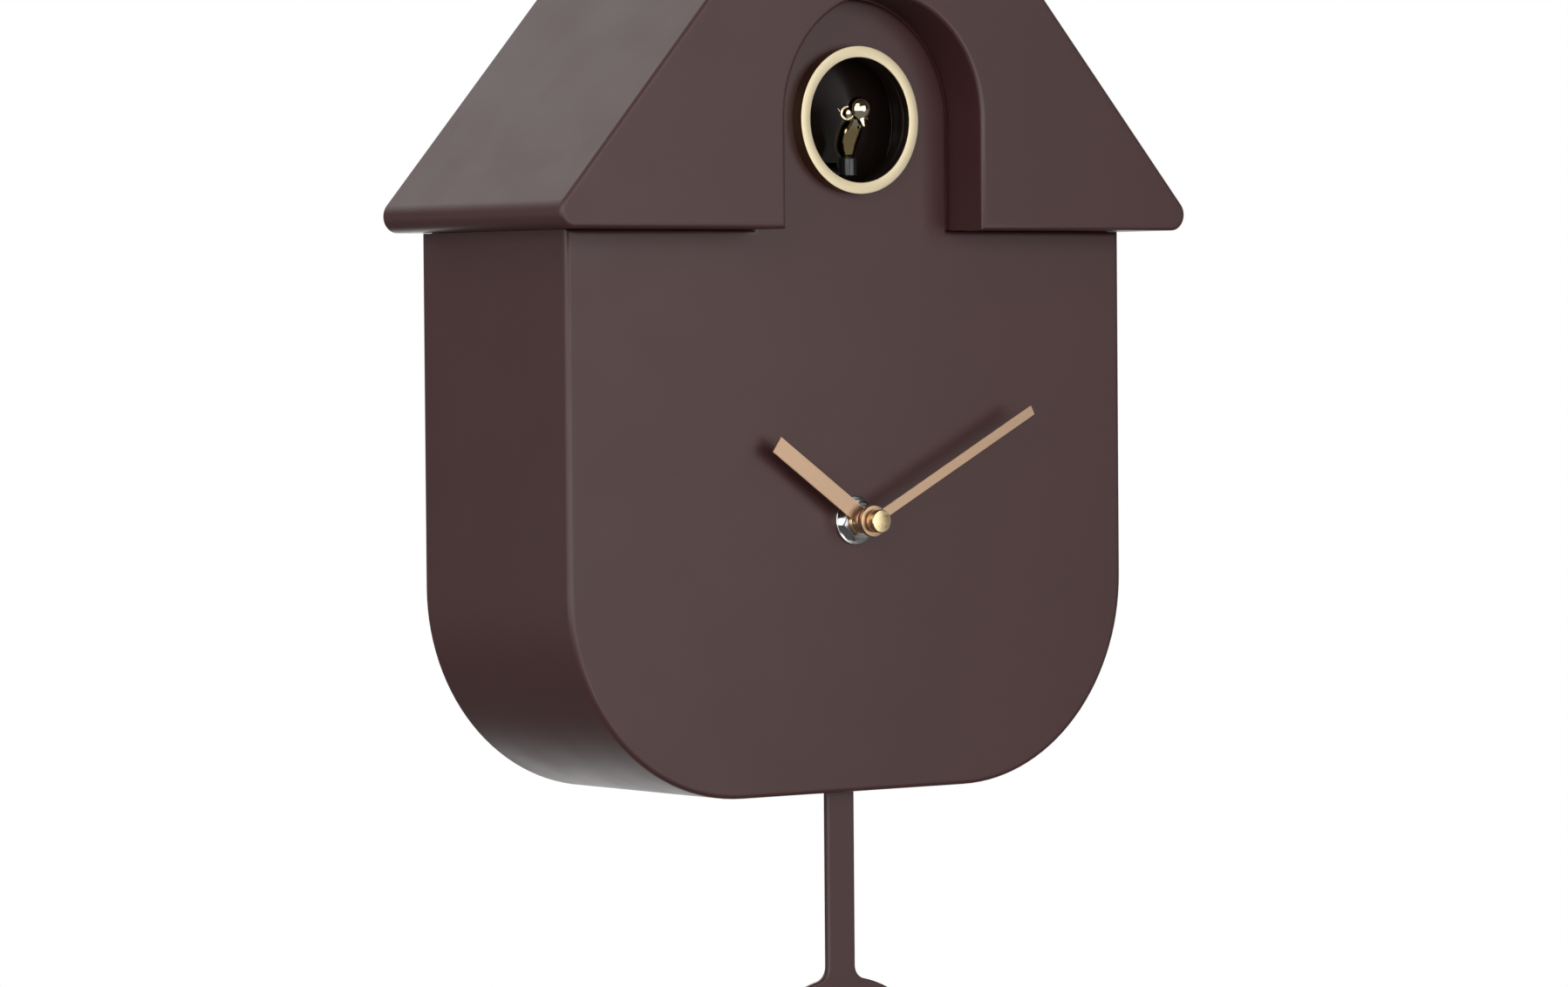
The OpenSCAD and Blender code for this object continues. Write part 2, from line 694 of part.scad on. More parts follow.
module battery_holder() color("#1E1E20") {
    back = cover_y - 0.5;
    difference() {
        union() {
            block([-holder_w / 2, back - holder_d, holder_low], [holder_w / 2, back, holder_top]);
            block([-42, cover_y - 1.5, 22], [42, cover_y, 44]);
        }
        block([-holder_w / 2 + 1.5, back - holder_d + 1.2, holder_low + 1.2],
              [holder_w / 2 - 1.5, cover_y + 1, holder_top - 1.2]);
    }
}

module sound_batteries() color("#3C6E8F") {
    for (h = [holder_low + 1.3 + battery_r, holder_top - 1.3 - battery_r]) cell(cell_y, h);
}

module battery_contacts() color("silver") {
    for (s = [-1, 1]) translate([s * (battery_len / 2 + 2), 0, 0])
        block([-0.2, cell_y - 5, holder_low + 3], [0.2, cell_y + 5, holder_top - 3]);
    for (h = [holder_low + 1.3 + battery_r, holder_top - 1.3 - battery_r])
        translate([-battery_len / 2 - 1.9, cell_y, up(h)]) rotate([0, 90, 0]) cylinder(r = 3, h = 1.9);
}

module sound_board() color("#2F6B3C") {
    block([board_x - 20, board_y - board_t, 42], [board_x + 20, board_y, 100]);
    block([board_x - 14, board_y - board_t - 2, 68], [board_x - 2, board_y - board_t, 80]);
    bar_y(board_x + 9, 74, 3, board_y - board_t - 8, board_y - board_t);
    bar_y(knob_place[0], knob_place[1], 5, board_y, board_y + 2);
    block([switch_place[0] - 4, board_y, switch_place[1] - 7], [switch_place[0] + 4, board_y + 3, switch_place[1] + 7]);
}

module sound_switch() color("#E8E4DC") {
    block([switch_place[0] - 2, board_y + gap + 3, switch_place[1] - 2], [switch_place[0] + 2, body_back_y + 0.3, switch_place[1] + 2]);
}

module volume_knob() color("#E8E4DC") {
    difference() {
        bar_y(knob_place[0], knob_place[1], knob_r, board_y + 2 + gap, body_back_y + 0.3);
        block([knob_place[0] - 0.6, body_back_y - 0.8, knob_place[1]], [knob_place[0] + 0.6, 1, knob_place[1] + 7]);
        for (a = [0:20:340]) translate([6.4 * cos(a), 0, 6.4 * sin(a)])
            bar_y(knob_place[0], knob_place[1], 0.6, board_y, 1);
    }
}

module speaker_frame() color("#6A6A6E") {
    translate([speaker_place[0], cover_y, up(speaker_place[1])]) rotate([90, 0, 0]) rotate_extrude()
        polygon([[speaker_r, 0], [speaker_r, 1.5], [19.5, 1.5], [11, 9.5], [11, 19], [0, 19], [0, 11],
                 [9.5, 11], [9.5, 9], [19, 0.8], [19.5, 0]]);
}

module speaker_cone() color("#222222") {
    translate([speaker_place[0], cover_y, up(speaker_place[1])]) rotate([90, 0, 0]) rotate_extrude()
        polygon([[0, 5.5], [5, 7], [18.6, 0.5], [18.6, 0.9], [8.2, 8.9], [0, 9.4]]);
}

// Unit vector along v
function unit(v) = v / norm(v);
// Direction of a lead at its place i
function lead_dir(places, i) =
    unit(places[min(i + 1, len(places) - 1)] - places[max(i - 1, 0)]);

// A lead swept through the given places, its ends closed
module lead(places) {
    sides = 8;
    count = len(places);
    skew = [0.31, 0.83, 0.46];
    rings = [for (i = [0:count - 1]) let (t = lead_dir(places, i), u = unit(cross(t, skew)), v = cross(t, u))
             for (k = [0:sides - 1]) places[i] + [0, 0, up(0)] + lead_r * (cos(45 * k) * u + sin(45 * k) * v)];
    walls = [for (i = [0:count - 2], k = [0:sides - 1])
             let (a = i * sides + k, b = i * sides + (k + 1) % sides) [a, b, b + sides, a + sides]];
    polyhedron(rings, concat(walls, [[for (k = [sides - 1:-1:0]) k]],
                             [[for (k = [0:sides - 1]) (count - 1) * sides + k]]));
}

module wiring() color("#A03030") {
    for (places = [battery_lead, speaker_lead, solenoid_lead, drive_lead]) lead(places);
}

body_shell();
roof_shell();
back_cover();
battery_door();
cover_screws();
roof_screws();
window_ring();
bird_chamber();
bird();
bird_lever();
lever_weight();
lever_pin();
solenoid_frame();
solenoid_coil();
solenoid_plunger();
hour_hand();
minute_hand();
hand_cap();
fixing_nut();
fixing_washer();
movement_front();
movement_rear();
hour_wheel();
minute_arbor();
motion_wheel();
third_wheel();
seconds_wheel();
setting_knob();
motor_rotor();
motor_stator();
motor_coil();
movement_board();
clock_battery();
pendulum_rod();
pendulum_bob();
pendulum_hanger();
pendulum_magnet();
pendulum_pin();
pendulum_drive_case();
pendulum_drive_coil();
battery_holder();
sound_batteries();
battery_contacts();
sound_board();
sound_switch();
volume_knob();
speaker_frame();
speaker_cone();
wiring();
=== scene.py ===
import math

import bmesh
import bpy
from mathutils import Matrix, Vector


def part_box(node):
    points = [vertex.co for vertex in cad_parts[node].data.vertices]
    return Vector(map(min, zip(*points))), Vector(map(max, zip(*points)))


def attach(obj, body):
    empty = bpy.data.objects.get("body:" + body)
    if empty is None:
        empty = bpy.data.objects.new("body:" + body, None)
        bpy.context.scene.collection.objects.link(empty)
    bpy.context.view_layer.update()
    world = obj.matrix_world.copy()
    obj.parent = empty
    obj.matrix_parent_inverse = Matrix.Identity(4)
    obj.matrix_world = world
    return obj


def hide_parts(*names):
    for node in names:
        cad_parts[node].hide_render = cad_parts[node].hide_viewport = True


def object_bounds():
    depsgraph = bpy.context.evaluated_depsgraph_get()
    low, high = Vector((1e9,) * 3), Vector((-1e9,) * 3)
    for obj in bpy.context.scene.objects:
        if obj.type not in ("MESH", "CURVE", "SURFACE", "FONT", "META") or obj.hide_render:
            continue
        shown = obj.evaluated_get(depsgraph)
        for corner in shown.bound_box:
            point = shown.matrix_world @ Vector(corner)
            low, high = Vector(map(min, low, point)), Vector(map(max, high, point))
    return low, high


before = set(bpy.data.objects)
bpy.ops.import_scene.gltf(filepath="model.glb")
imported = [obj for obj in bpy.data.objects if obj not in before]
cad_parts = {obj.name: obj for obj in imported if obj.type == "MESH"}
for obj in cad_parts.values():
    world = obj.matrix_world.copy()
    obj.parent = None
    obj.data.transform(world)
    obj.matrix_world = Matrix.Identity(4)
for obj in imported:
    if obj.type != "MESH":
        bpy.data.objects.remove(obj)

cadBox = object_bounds()
mm = 0.001
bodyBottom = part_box("body_shell")[0].z      # heights below are counted from here, in mm
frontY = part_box("body_shell")[0].y / mm     # front face of the body
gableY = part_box("roof_shell")[0].y / mm     # front face of the roof
axisH = (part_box("hand_cap")[0].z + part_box("hand_cap")[1].z) / 2 / mm - bodyBottom / mm
windowH = (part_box("window_ring")[0].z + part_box("window_ring")[1].z) / 2 / mm - bodyBottom / mm


# helpers take mm: x to the right, y into the wall, h up from the body's bottom

def place(x, y, h):
    return Vector((x * mm, y * mm, bodyBottom + h * mm))


def quarterTurns(steps):
    # angles from 0 to 90 degrees, for rounded edges
    return [math.radians(90 * k / steps) for k in range(steps + 1)]


def arc(cx, ch, radius, start, end, steps):
    # points on an arc in the plane of the dial, from start to end in degrees
    turns = [math.radians(start + (end - start) * i / steps) for i in range(steps + 1)]
    return [(cx + radius * math.cos(t), ch + radius * math.sin(t)) for t in turns]


def ring(bm, points, y):
    return [bm.verts.new(place(px, y, ph)) for px, ph in points]


def joinRings(bm, a, b, closed=True, skip=()):
    last = len(a) if closed else len(a) - 1
    for i in range(last):
        if i not in skip:
            k = (i + 1) % len(a)
            bm.faces.new((a[i], a[k], b[k], b[i]))


def fillFlat(bm, *loops):
    edges = []
    for loop in loops:
        for i, v in enumerate(loop):
            w = loop[(i + 1) % len(loop)]
            edges.append(bm.edges.get((v, w)) or bm.edges.new((v, w)))
    bmesh.ops.triangle_fill(bm, use_beauty=True, edges=edges)


def finishMesh(bm, name, material, sharpAngle=35, outward=True):
    if outward:
        bmesh.ops.recalc_face_normals(bm, faces=bm.faces)
    for f in bm.faces:
        f.smooth = True
    for e in bm.edges:
        if len(e.link_faces) == 2 and e.calc_face_angle(0) > math.radians(sharpAngle):
            e.smooth = False
    mesh = bpy.data.meshes.new(name)
    bm.to_mesh(mesh)
    bm.free()
    mesh.materials.append(material)
    piece = bpy.data.objects.new(name, mesh)
    bpy.context.scene.collection.objects.link(piece)
    return piece


def joinMesh(bm, other):
    # adds another bmesh to this one
    mesh = bpy.data.meshes.new("joined")
    other.to_mesh(mesh)
    other.free()
    bm.from_mesh(mesh)
    bpy.data.meshes.remove(mesh)


def joinColumns(bm, columns, poles, closed=False):
    # skins columns that stand round an axis; None in a column is the pole at that level
    count = len(poles)
    for i, a in enumerate(columns):
        b = columns[(i + 1) % len(columns)]
        for j in range(count if closed else count - 1):
            k = (j + 1) % count
            corners = [a[j] or poles[j], b[j] or poles[j], b[k] or poles[k], a[k] or poles[k]]
            unique = list(dict.fromkeys(corners))
            if len(unique) > 2:
                bm.faces.new(unique)


def turnAngles(segments):
    return [2 * math.pi * i / segments for i in range(segments)]


def lathe(profile, h, segments=96, closed=True):
    # turns a profile of (radius, y) about a line along Y at height h; radius 0 closes on the axis
    bm = bmesh.new()
    columns = [[bm.verts.new(place(r * math.cos(t), y, h + r * math.sin(t))) if r else None for r, y in profile]
               for t in turnAngles(segments)]
    poles = [None if r else bm.verts.new(place(0, y, h)) for r, y in profile]
    joinColumns(bm, columns, poles, closed)
    return bm


nearAxis = 0.0001                            # radius that stands for the axis while corners are rounded


def snapToAxis(profile):
    return [(0 if r < 10 * nearAxis else r, y) for r, y in profile]


def roundedProfile(corners, steps=4):
    # rounds each (radius, y, fillet) corner of a closed profile
    out = []
    count = len(corners)
    for i, (r, y, fillet) in enumerate(corners):
        p = Vector((r, y))
        if fillet == 0:
            out.append((r, y))
            continue
        a = (Vector(corners[i - 1][:2]) - p).normalized()
        b = (Vector(corners[(i + 1) % count][:2]) - p).normalized()
        half = a.angle(b) / 2
        reach = fillet / math.tan(half)
        centre = p + (a + b).normalized() * fillet / math.sin(half)
        start, end = p + a * reach - centre, p + b * reach - centre
        for k in range(steps + 1):
            d = start.lerp(end, k / steps).normalized() * fillet
            out.append(tuple(centre + d))
    return out


# materials: every texture is laid in object space, in metres

def nodeMaterial(name, color, roughness, metallic=0.0, specular=0.5, coat=0.0, coatRoughness=0.1):
    m = bpy.data.materials.new(name)
    m.use_nodes = True
    shader = m.node_tree.nodes["Principled BSDF"]
    shader.inputs["Base Color"].default_value = (*color, 1)
    shader.inputs["Roughness"].default_value = roughness
    shader.inputs["Metallic"].default_value = metallic
    shader.inputs["Specular IOR Level"].default_value = specular
    shader.inputs["Coat Weight"].default_value = coat
    shader.inputs["Coat Roughness"].default_value = coatRoughness
    m.diffuse_color = (*color, 1)
    return m, m.node_tree, shader


def objectPoint(tree, centre=(0, 0, 0), turn=(0, 0, 0), stretch=(1, 1, 1)):
    coord = tree.nodes.new("ShaderNodeTexCoord")
    shift = tree.nodes.new("ShaderNodeVectorMath")
    shift.operation = "SUBTRACT"
    shift.inputs[1].default_value = centre
    tree.links.new(coord.outputs["Object"], shift.inputs[0])
    mapping = tree.nodes.new("ShaderNodeMapping")
    mapping.inputs["Rotation"].default_value = turn
    mapping.inputs["Scale"].default_value = stretch
    tree.links.new(shift.outputs[0], mapping.inputs["Vector"])
    return mapping.outputs["Vector"]


def noise(tree, vector, scale, detail=3.0, rough=0.5):
    n = tree.nodes.new("ShaderNodeTexNoise")
    n.inputs["Scale"].default_value = scale
    n.inputs["Detail"].default_value = detail
    n.inputs["Roughness"].default_value = rough
    tree.links.new(vector, n.inputs["Vector"])
    return n.outputs["Fac"]


def remap(tree, value, low, high, fromLow=0.3, fromHigh=0.7):
    r = tree.nodes.new("ShaderNodeMapRange")
    r.inputs["From Min"].default_value = fromLow
    r.inputs["From Max"].default_value = fromHigh
    r.inputs["To Min"].default_value = low
    r.inputs["To Max"].default_value = high
    tree.links.new(value, r.inputs["Value"])
    return r.outputs["Result"]


def blendColors(tree, factor, a, b):
    ramp = tree.nodes.new("ShaderNodeValToRGB")
    ramp.color_ramp.elements[0].color = (*a, 1)
    ramp.color_ramp.elements[1].color = (*b, 1)
    ramp.color_ramp.elements[0].position = 0.3
    ramp.color_ramp.elements[1].position = 0.7
    tree.links.new(factor, ramp.inputs["Fac"])
    return ramp.outputs["Color"]


def bump(tree, shader, height, strength, distance):
    b = tree.nodes.new("ShaderNodeBump")
    b.inputs["Strength"].default_value = strength
    b.inputs["Distance"].default_value = distance
    tree.links.new(height, b.inputs["Height"])
    tree.links.new(b.outputs["Normal"], shader.inputs["Normal"])


def shade(color, factor):
    return tuple(min(1.0, c * factor) for c in color)


def mouldedPlastic(name, color, roughness, grain=900, grainDepth=0.00002, shift=0.05, specular=0.5, coat=0.0):
    # satin moulding: slow colour drift, uneven gloss and a fine skin
    m, tree, shader = nodeMaterial(name, color, roughness, specular=specular, coat=coat)
    point = objectPoint(tree)
    drift = blendColors(tree, noise(tree, point, 14, 4), shade(color, 1 - shift), shade(color, 1 + shift))
    gloss = remap(tree, noise(tree, point, 60, 5), roughness - 0.03, roughness + 0.03)
    tree.links.new(drift, shader.inputs["Base Color"])
    tree.links.new(gloss, shader.inputs["Roughness"])
    bump(tree, shader, noise(tree, point, grain, 2), 0.25, grainDepth)
    return m


def drawnMetal(name, color, roughness, along=(1, 1, 1), scale=400, depth=0.000008, shift=0.08):
    # brushed or rolled metal: the grain is stretched along one axis
    m, tree, shader = nodeMaterial(name, color, roughness, metallic=1.0)
    lines = noise(tree, objectPoint(tree, stretch=along), scale, 3, 0.6)
    tint = blendColors(tree, lines, shade(color, 1 - shift), shade(color, 1 + shift))
    tree.links.new(tint, shader.inputs["Base Color"])
    tree.links.new(remap(tree, lines, roughness * 0.85, roughness * 1.15), shader.inputs["Roughness"])
    bump(tree, shader, lines, 0.3, depth)
    return m


def goldWithPaintedShade(name, top, low, start, end):
    # polished gold that runs from amber at the start height to pale gold at the end height; the darker amber
    # lower part is painted shade, standing in for the dark chamber the body reflects
    m, tree, shader = nodeMaterial(name, top, 0.09, metallic=1.0)
    point = objectPoint(tree)
    split = tree.nodes.new("ShaderNodeSeparateXYZ")
    tree.links.new(point, split.inputs[0])
    cloud = noise(tree, point, 600, 3)
    height = remap(tree, split.outputs["Z"], 0, 1, start, end)
    tree.links.new(blendColors(tree, height, low, top), shader.inputs["Base Color"])
    tree.links.new(remap(tree, cloud, 0.06, 0.13), shader.inputs["Roughness"])
    bump(tree, shader, cloud, 0.3, 0.000004)
    return m


def turnedMetal(name, color, roughness, centre, pitch=0.00025, depth=0.00001):
    # turned face: fine rings about an axis along Y
    m, tree, shader = nodeMaterial(name, color, roughness, metallic=1.0)
    point = objectPoint(tree, centre=centre)
    split = tree.nodes.new("ShaderNodeSeparateXYZ")
    tree.links.new(point, split.inputs[0])
    flat = tree.nodes.new("ShaderNodeCombineXYZ")
    tree.links.new(split.outputs["X"], flat.inputs["X"])
    tree.links.new(split.outputs["Z"], flat.inputs["Y"])
    length = tree.nodes.new("ShaderNodeVectorMath")
    length.operation = "LENGTH"
    tree.links.new(flat.outputs[0], length.inputs[0])
    wave = tree.nodes.new("ShaderNodeMath")
    wave.operation = "MULTIPLY"
    wave.inputs[1].default_value = 2 * math.pi / pitch
    tree.links.new(length.outputs["Value"], wave.inputs[0])
    sine = tree.nodes.new("ShaderNodeMath")
    sine.operation = "SINE"
    tree.links.new(wave.outputs[0], sine.inputs[0])
    tint = blendColors(tree, noise(tree, point, 300, 3), shade(color, 0.94), shade(color, 1.05))
    gloss = remap(tree, noise(tree, point, 900, 2), roughness * 0.8, roughness * 1.25)
    tree.links.new(tint, shader.inputs["Base Color"])
    tree.links.new(gloss, shader.inputs["Roughness"])
    bump(tree, shader, sine.outputs[0], 0.5, depth)
    return m


def woundWire(name, color, axis, pitch=0.0003):
    # enamelled wire laid turn by turn along an axis; each turn is painted darker where it meets the next,
    # painted shade between the turns
    m, tree, shader = nodeMaterial(name, color, 0.3, metallic=0.9, coat=0.4)
    wave = tree.nodes.new("ShaderNodeTexWave")
    wave.bands_direction = axis
    wave.inputs["Scale"].default_value = 1 / pitch / 20      # the wave node repeats about 20 times per unit
    wave.inputs["Distortion"].default_value = 0.4
    wave.inputs["Detail"].default_value = 1
    tree.links.new(objectPoint(tree), wave.inputs["Vector"])
    # bands darker at the edges of each turn: painted shade in the crevices between turns
    tint = blendColors(tree, wave.outputs["Fac"], shade(color, 0.55), shade(color, 1.1))
    tree.links.new(tint, shader.inputs["Base Color"])
    bump(tree, shader, wave.outputs["Fac"], 0.8, 0.0001)
    return m


def circuitBoard(name, color):
    # solder mask over faint tracks
    m, tree, shader = nodeMaterial(name, color, 0.35, coat=0.3)
    tracks = tree.nodes.new("ShaderNodeTexBrick")
    tracks.inputs["Scale"].default_value = 120
    tracks.inputs["Mortar Size"].default_value = 0.08
    tracks.inputs["Color1"].default_value = (*color, 1)
    tracks.inputs["Color2"].default_value = (*shade(color, 0.85), 1)
    tracks.inputs["Mortar"].default_value = (*shade(color, 1.7), 1)
    tree.links.new(objectPoint(tree, turn=(math.pi / 2, 0, 0)), tracks.inputs["Vector"])
    tree.links.new(tracks.outputs["Color"], shader.inputs["Base Color"])
    bump(tree, shader, tracks.outputs["Fac"], 0.3, 0.00005)
    return m


finish = {
    "shellColor": (0.058, 0.0185, 0.0185), "shellRoughness": 0.42,
    "coverColor": (0.030, 0.024, 0.024), "chamberColor": (0.012, 0.0075, 0.006),
    "darkColor": (0.012, 0.012, 0.013),
    # the amber is painted shade for the bird's lower body, not a colour of its own
    "gold": (0.90, 0.80, 0.58), "shadedAmber": (0.70, 0.54, 0.26), "champagne": (0.80, 0.69, 0.47),
    # the brown of the ring's side is painted shade on the gold, not a colour of its own
    "shadedRingSide": (0.34, 0.24, 0.14), "copper": (0.60, 0.41, 0.275), "brass": (0.80, 0.63, 0.36),
    "plainBrass": (0.55, 0.42, 0.19), "wire": (0.55, 0.20, 0.07), "chrome": (0.60, 0.60, 0.60),
    "steel": (0.50, 0.50, 0.50), "shadedUpTo": 0.179, "goldFrom": 0.186,
}
hubPoint = (0, 0, bodyBottom + axisH * mm)
windowPoint = (0, 0, bodyBottom + windowH * mm)
shellBrown = mouldedPlastic("shell_brown", finish["shellColor"], finish["shellRoughness"], specular=0.59)
coverBlack = mouldedPlastic("cover_black", finish["coverColor"], 0.5, grain=500, grainDepth=0.00006)
chamberBlack = mouldedPlastic("chamber_black", finish["chamberColor"], 0.16, grain=200, grainDepth=0.00001,
                              specular=0.3)
leverGrey = mouldedPlastic("lever_grey", finish["darkColor"], 0.2, grain=300, grainDepth=0.00001)
movementBlack = mouldedPlastic("movement_black", finish["darkColor"], 0.4, grain=700, grainDepth=0.00004)
wheelWhite = mouldedPlastic("wheel_white", (0.62, 0.60, 0.55), 0.35)
knobIvory = mouldedPlastic("knob_ivory", (0.72, 0.68, 0.60), 0.4)
coneBlack = mouldedPlastic("cone_black", (0.016, 0.015, 0.014), 0.85, grain=1500, grainDepth=0.0001)
leadRed = mouldedPlastic("lead_red", (0.35, 0.02, 0.02), 0.45)
sleeveBlue = mouldedPlastic("cell_sleeve", (0.05, 0.16, 0.26), 0.25, coat=0.6)
windowGold = drawnMetal("window_gold", finish["champagne"], 0.45, scale=1500, depth=0.000003, shift=0.02)
# a darker brown copy of the ring's gold for its outer wall: painted shade
shadedRingSide = drawnMetal("window_gold_side_shaded", finish["shadedRingSide"], 0.16, along=(1, 12, 1), scale=200, depth=0.000002,
                      shift=0.03)
# the bird is painted darker amber below the head: painted shade for the dark chamber round its body
birdGold = goldWithPaintedShade("bird_gold", finish["gold"], finish["shadedAmber"], bodyBottom + finish["shadedUpTo"],
                      bodyBottom + finish["goldFrom"])
handCopper = drawnMetal("hand_copper", finish["copper"], 0.38, scale=2500, shift=0.05)
capBrass = turnedMetal("cap_brass", finish["brass"], 0.27, hubPoint, pitch=0.00018, depth=0.0000015)
chrome = turnedMetal("chrome", finish["chrome"], 0.13, hubPoint, pitch=0.0009, depth=0.000002)
steel = drawnMetal("steel", finish["steel"], 0.3, along=(1, 1, 8), scale=300)
brassPlain = drawnMetal("brass_plain", finish["plainBrass"], 0.3, along=(8, 1, 1), scale=200)
magnetGrey = drawnMetal("magnet_grey", (0.16, 0.16, 0.17), 0.5, scale=900)
copperZ = woundWire("copper_wire", finish["wire"], "Z")
copperX = woundWire("copper_wire_long", finish["wire"], "X")
boardGreen = circuitBoard("board_green", (0.03, 0.14, 0.05))
print("materials ready:", len(bpy.data.materials))


body = {"halfWidth": 95.5, "height": 153.9, "cornerRadius": 57.0, "wall": 2.5, "fillet": 1.2,
        "tongueHalf": 33.4, "backY": -1.5, "cornerSteps": 30, "windowRadius": 18.15, "hubRadius": 4.1,
        "flatRim": 0.5, "lip": 0.3}
slotBox = {"half": 11.65, "frontY": frontY + 3.8, "backY": frontY + 12.2}    # way out for the pendulum's strip
gablePanel = {"half": 95.2, "low": 154.2, "depth": 2.8, "ridgeHalf": 2, "gap": 0.1, "setBack": 0.6}


def bodyLoop(inset):
    # U outline from the left top round to the right top; bodyFront adds the tongue in the recess
    side, low, r = body["halfWidth"] - inset, inset, body["cornerRadius"] - inset
    c = body["halfWidth"] - body["cornerRadius"]
    top = body["height"]
    cup = [(-side, top)] + arc(-c, body["cornerRadius"], r, 180, 270, body["cornerSteps"])
    cup += [(-slotBox["half"], low), (slotBox["half"], low)]
    cup += arc(c, body["cornerRadius"], r, 270, 360, body["cornerSteps"]) + [(side, top)]
    return cup


def tongueLoop(inset):
    half, low = body["tongueHalf"] - inset, body["height"] - inset
    crown = arc(0, windowH, half, 0, 180, 40)[1:-1]
    return [(half, low), (half, windowH)] + crown + [(-half, windowH), (-half, low)]


def bodyFront(inset):
    cup, top = bodyLoop(inset), body["height"] - inset
    cup[0] = (cup[0][0], top)
    cup[-1] = (cup[-1][0], top)
    inner = body["halfWidth"] - body["wall"]
    return cup + [(inner - inset, top)] + tongueLoop(inset) + [(inset - inner, top)]


def gableTop(x):
    # height of the panel's slope, a little under the roof's
    rise = (roof["eaveX"] - x) * math.sin(roof["pitch"])
    return roof["eaveH"] + (roof["eaveRadius"] - gablePanel["depth"] + rise) / math.cos(roof["pitch"])


def makeBody():
    bm = bmesh.new()
    r = body["fillet"]
    panelY = frontY + body["wall"]
    flat = ring(bm, bodyFront(r + body["flatRim"]), frontY)
    rings = [flat]
    for t in quarterTurns(6):
        rings.append(ring(bm, bodyFront(r * (1 - math.sin(t))), frontY + r * (1 - math.cos(t))))
    rings.append(ring(bm, bodyFront(0), frontY + r + body["flatRim"]))
    rings.append(ring(bm, bodyFront(0), panelY))
    for a, b in zip(rings, rings[1:]):
        joinRings(bm, a, b)
    count = len(bodyLoop(0))
    slotEdge = 1 + body["cornerSteps"] + 1          # edge of the cup across the rod's slot
    outer = [rings[-1][:count]]
    inner = [[rings[-1][-1]] + ring(bm, bodyLoop(body["wall"])[1:-1], panelY) + [rings[-1][count]]]
    for y in (slotBox["frontY"], slotBox["backY"], body["backY"] - 0.6, body["backY"]):
        outer.append(ring(bm, bodyLoop(0), y))
        inner.append(ring(bm, bodyLoop(body["wall"]), y))
    for k in range(4):
        skip = (slotEdge,) if k == 1 else ()
        joinRings(bm, outer[k], outer[k + 1], closed=False, skip=skip)
        joinRings(bm, inner[k], inner[k + 1], closed=False, skip=skip)
        for end in (0, -1):                         # top ends of the side walls
            bm.faces.new((outer[k][end], outer[k + 1][end], inner[k + 1][end], inner[k][end]))
    joinRings(bm, outer[-1], inner[-1], closed=False)
    a, b = slotEdge, slotEdge + 1                   # the slot's four walls, between levels 1 and 2
    for p, q in (((1, a), (2, a)), ((1, b), (2, b)), ((1, a), (1, b)), ((2, a), (2, b))):
        bm.faces.new((outer[p[0]][p[1]], outer[q[0]][q[1]], inner[q[0]][q[1]], inner[p[0]][p[1]]))
    # front panel with its two round holes
    holes = []
    for h, radius, steps in ((windowH, body["windowRadius"], 96), (axisH, body["hubRadius"], 32)):
        circle = arc(0, h, radius, 0, 360, steps)[:-1]
        lip = arc(0, h, radius + body["lip"], 0, 360, steps)[:-1]
        loops = [ring(bm, lip, frontY), ring(bm, circle, frontY + body["lip"]), ring(bm, circle, panelY)]
        joinRings(bm, loops[0], loops[1])
        joinRings(bm, loops[1], loops[2])
        holes.append(loops)
    fillFlat(bm, flat, *[h[0] for h in holes])
    fillFlat(bm, inner[0] + rings[-1][count + 1:-1], *[h[2] for h in holes])
    # panel under the roof
    half, side = body["tongueHalf"] - gablePanel["gap"], gablePanel["half"]
    ridge, low = gablePanel["ridgeHalf"], gablePanel["low"]
    outline = [(half, low), (side, low), (side, gableTop(side)), (ridge, gableTop(ridge)),
               (-ridge, gableTop(ridge)), (-side, gableTop(side)), (-side, low), (-half, low)]
    outline += arc(0, windowH, half, 180, 0, 40)
    plate = [ring(bm, outline, y) for y in (frontY + gablePanel["setBack"], panelY)]
    joinRings(bm, *plate)
    fillFlat(bm, plate[0])
    fillFlat(bm, plate[1])
    return finishMesh(bm, "house_body", shellBrown)


roof = {"eaveX": 103.0, "eaveH": 158.5, "eaveRadius": 4.5, "pitch": math.radians(48.7), "ridgeH": 275.7,
        "recessHalf": 33.8, "wall": 2.5, "fillet": 1.0, "openingHalf": 95.65, "recessY": frontY - 0.1,
        "flatRim": 0.5}


def roofOuter(inset):
    low = roof["eaveH"] - roof["eaveRadius"] + inset
    r = roof["eaveRadius"] - inset
    tilt = 90 - math.degrees(roof["pitch"])
    points = [(roof["openingHalf"], low)] + arc(roof["eaveX"], roof["eaveH"], r, -90, tilt, 16)
    points += arc(0, roof["ridgeH"], r, tilt, 180 - tilt, 14)
    points += arc(-roof["eaveX"], roof["eaveH"], r, 180 - tilt, 270, 16) + [(-roof["openingHalf"], low)]
    return points


def roofFront(inset):
    low = roof["eaveH"] - roof["eaveRadius"] + inset
    half = roof["recessHalf"] + inset
    crown = arc(0, windowH, half, 180, 0, 48)[1:-1]
    return roofOuter(inset) + [(-half, low), (-half, windowH)] + crown + [(half, windowH), (half, low)]


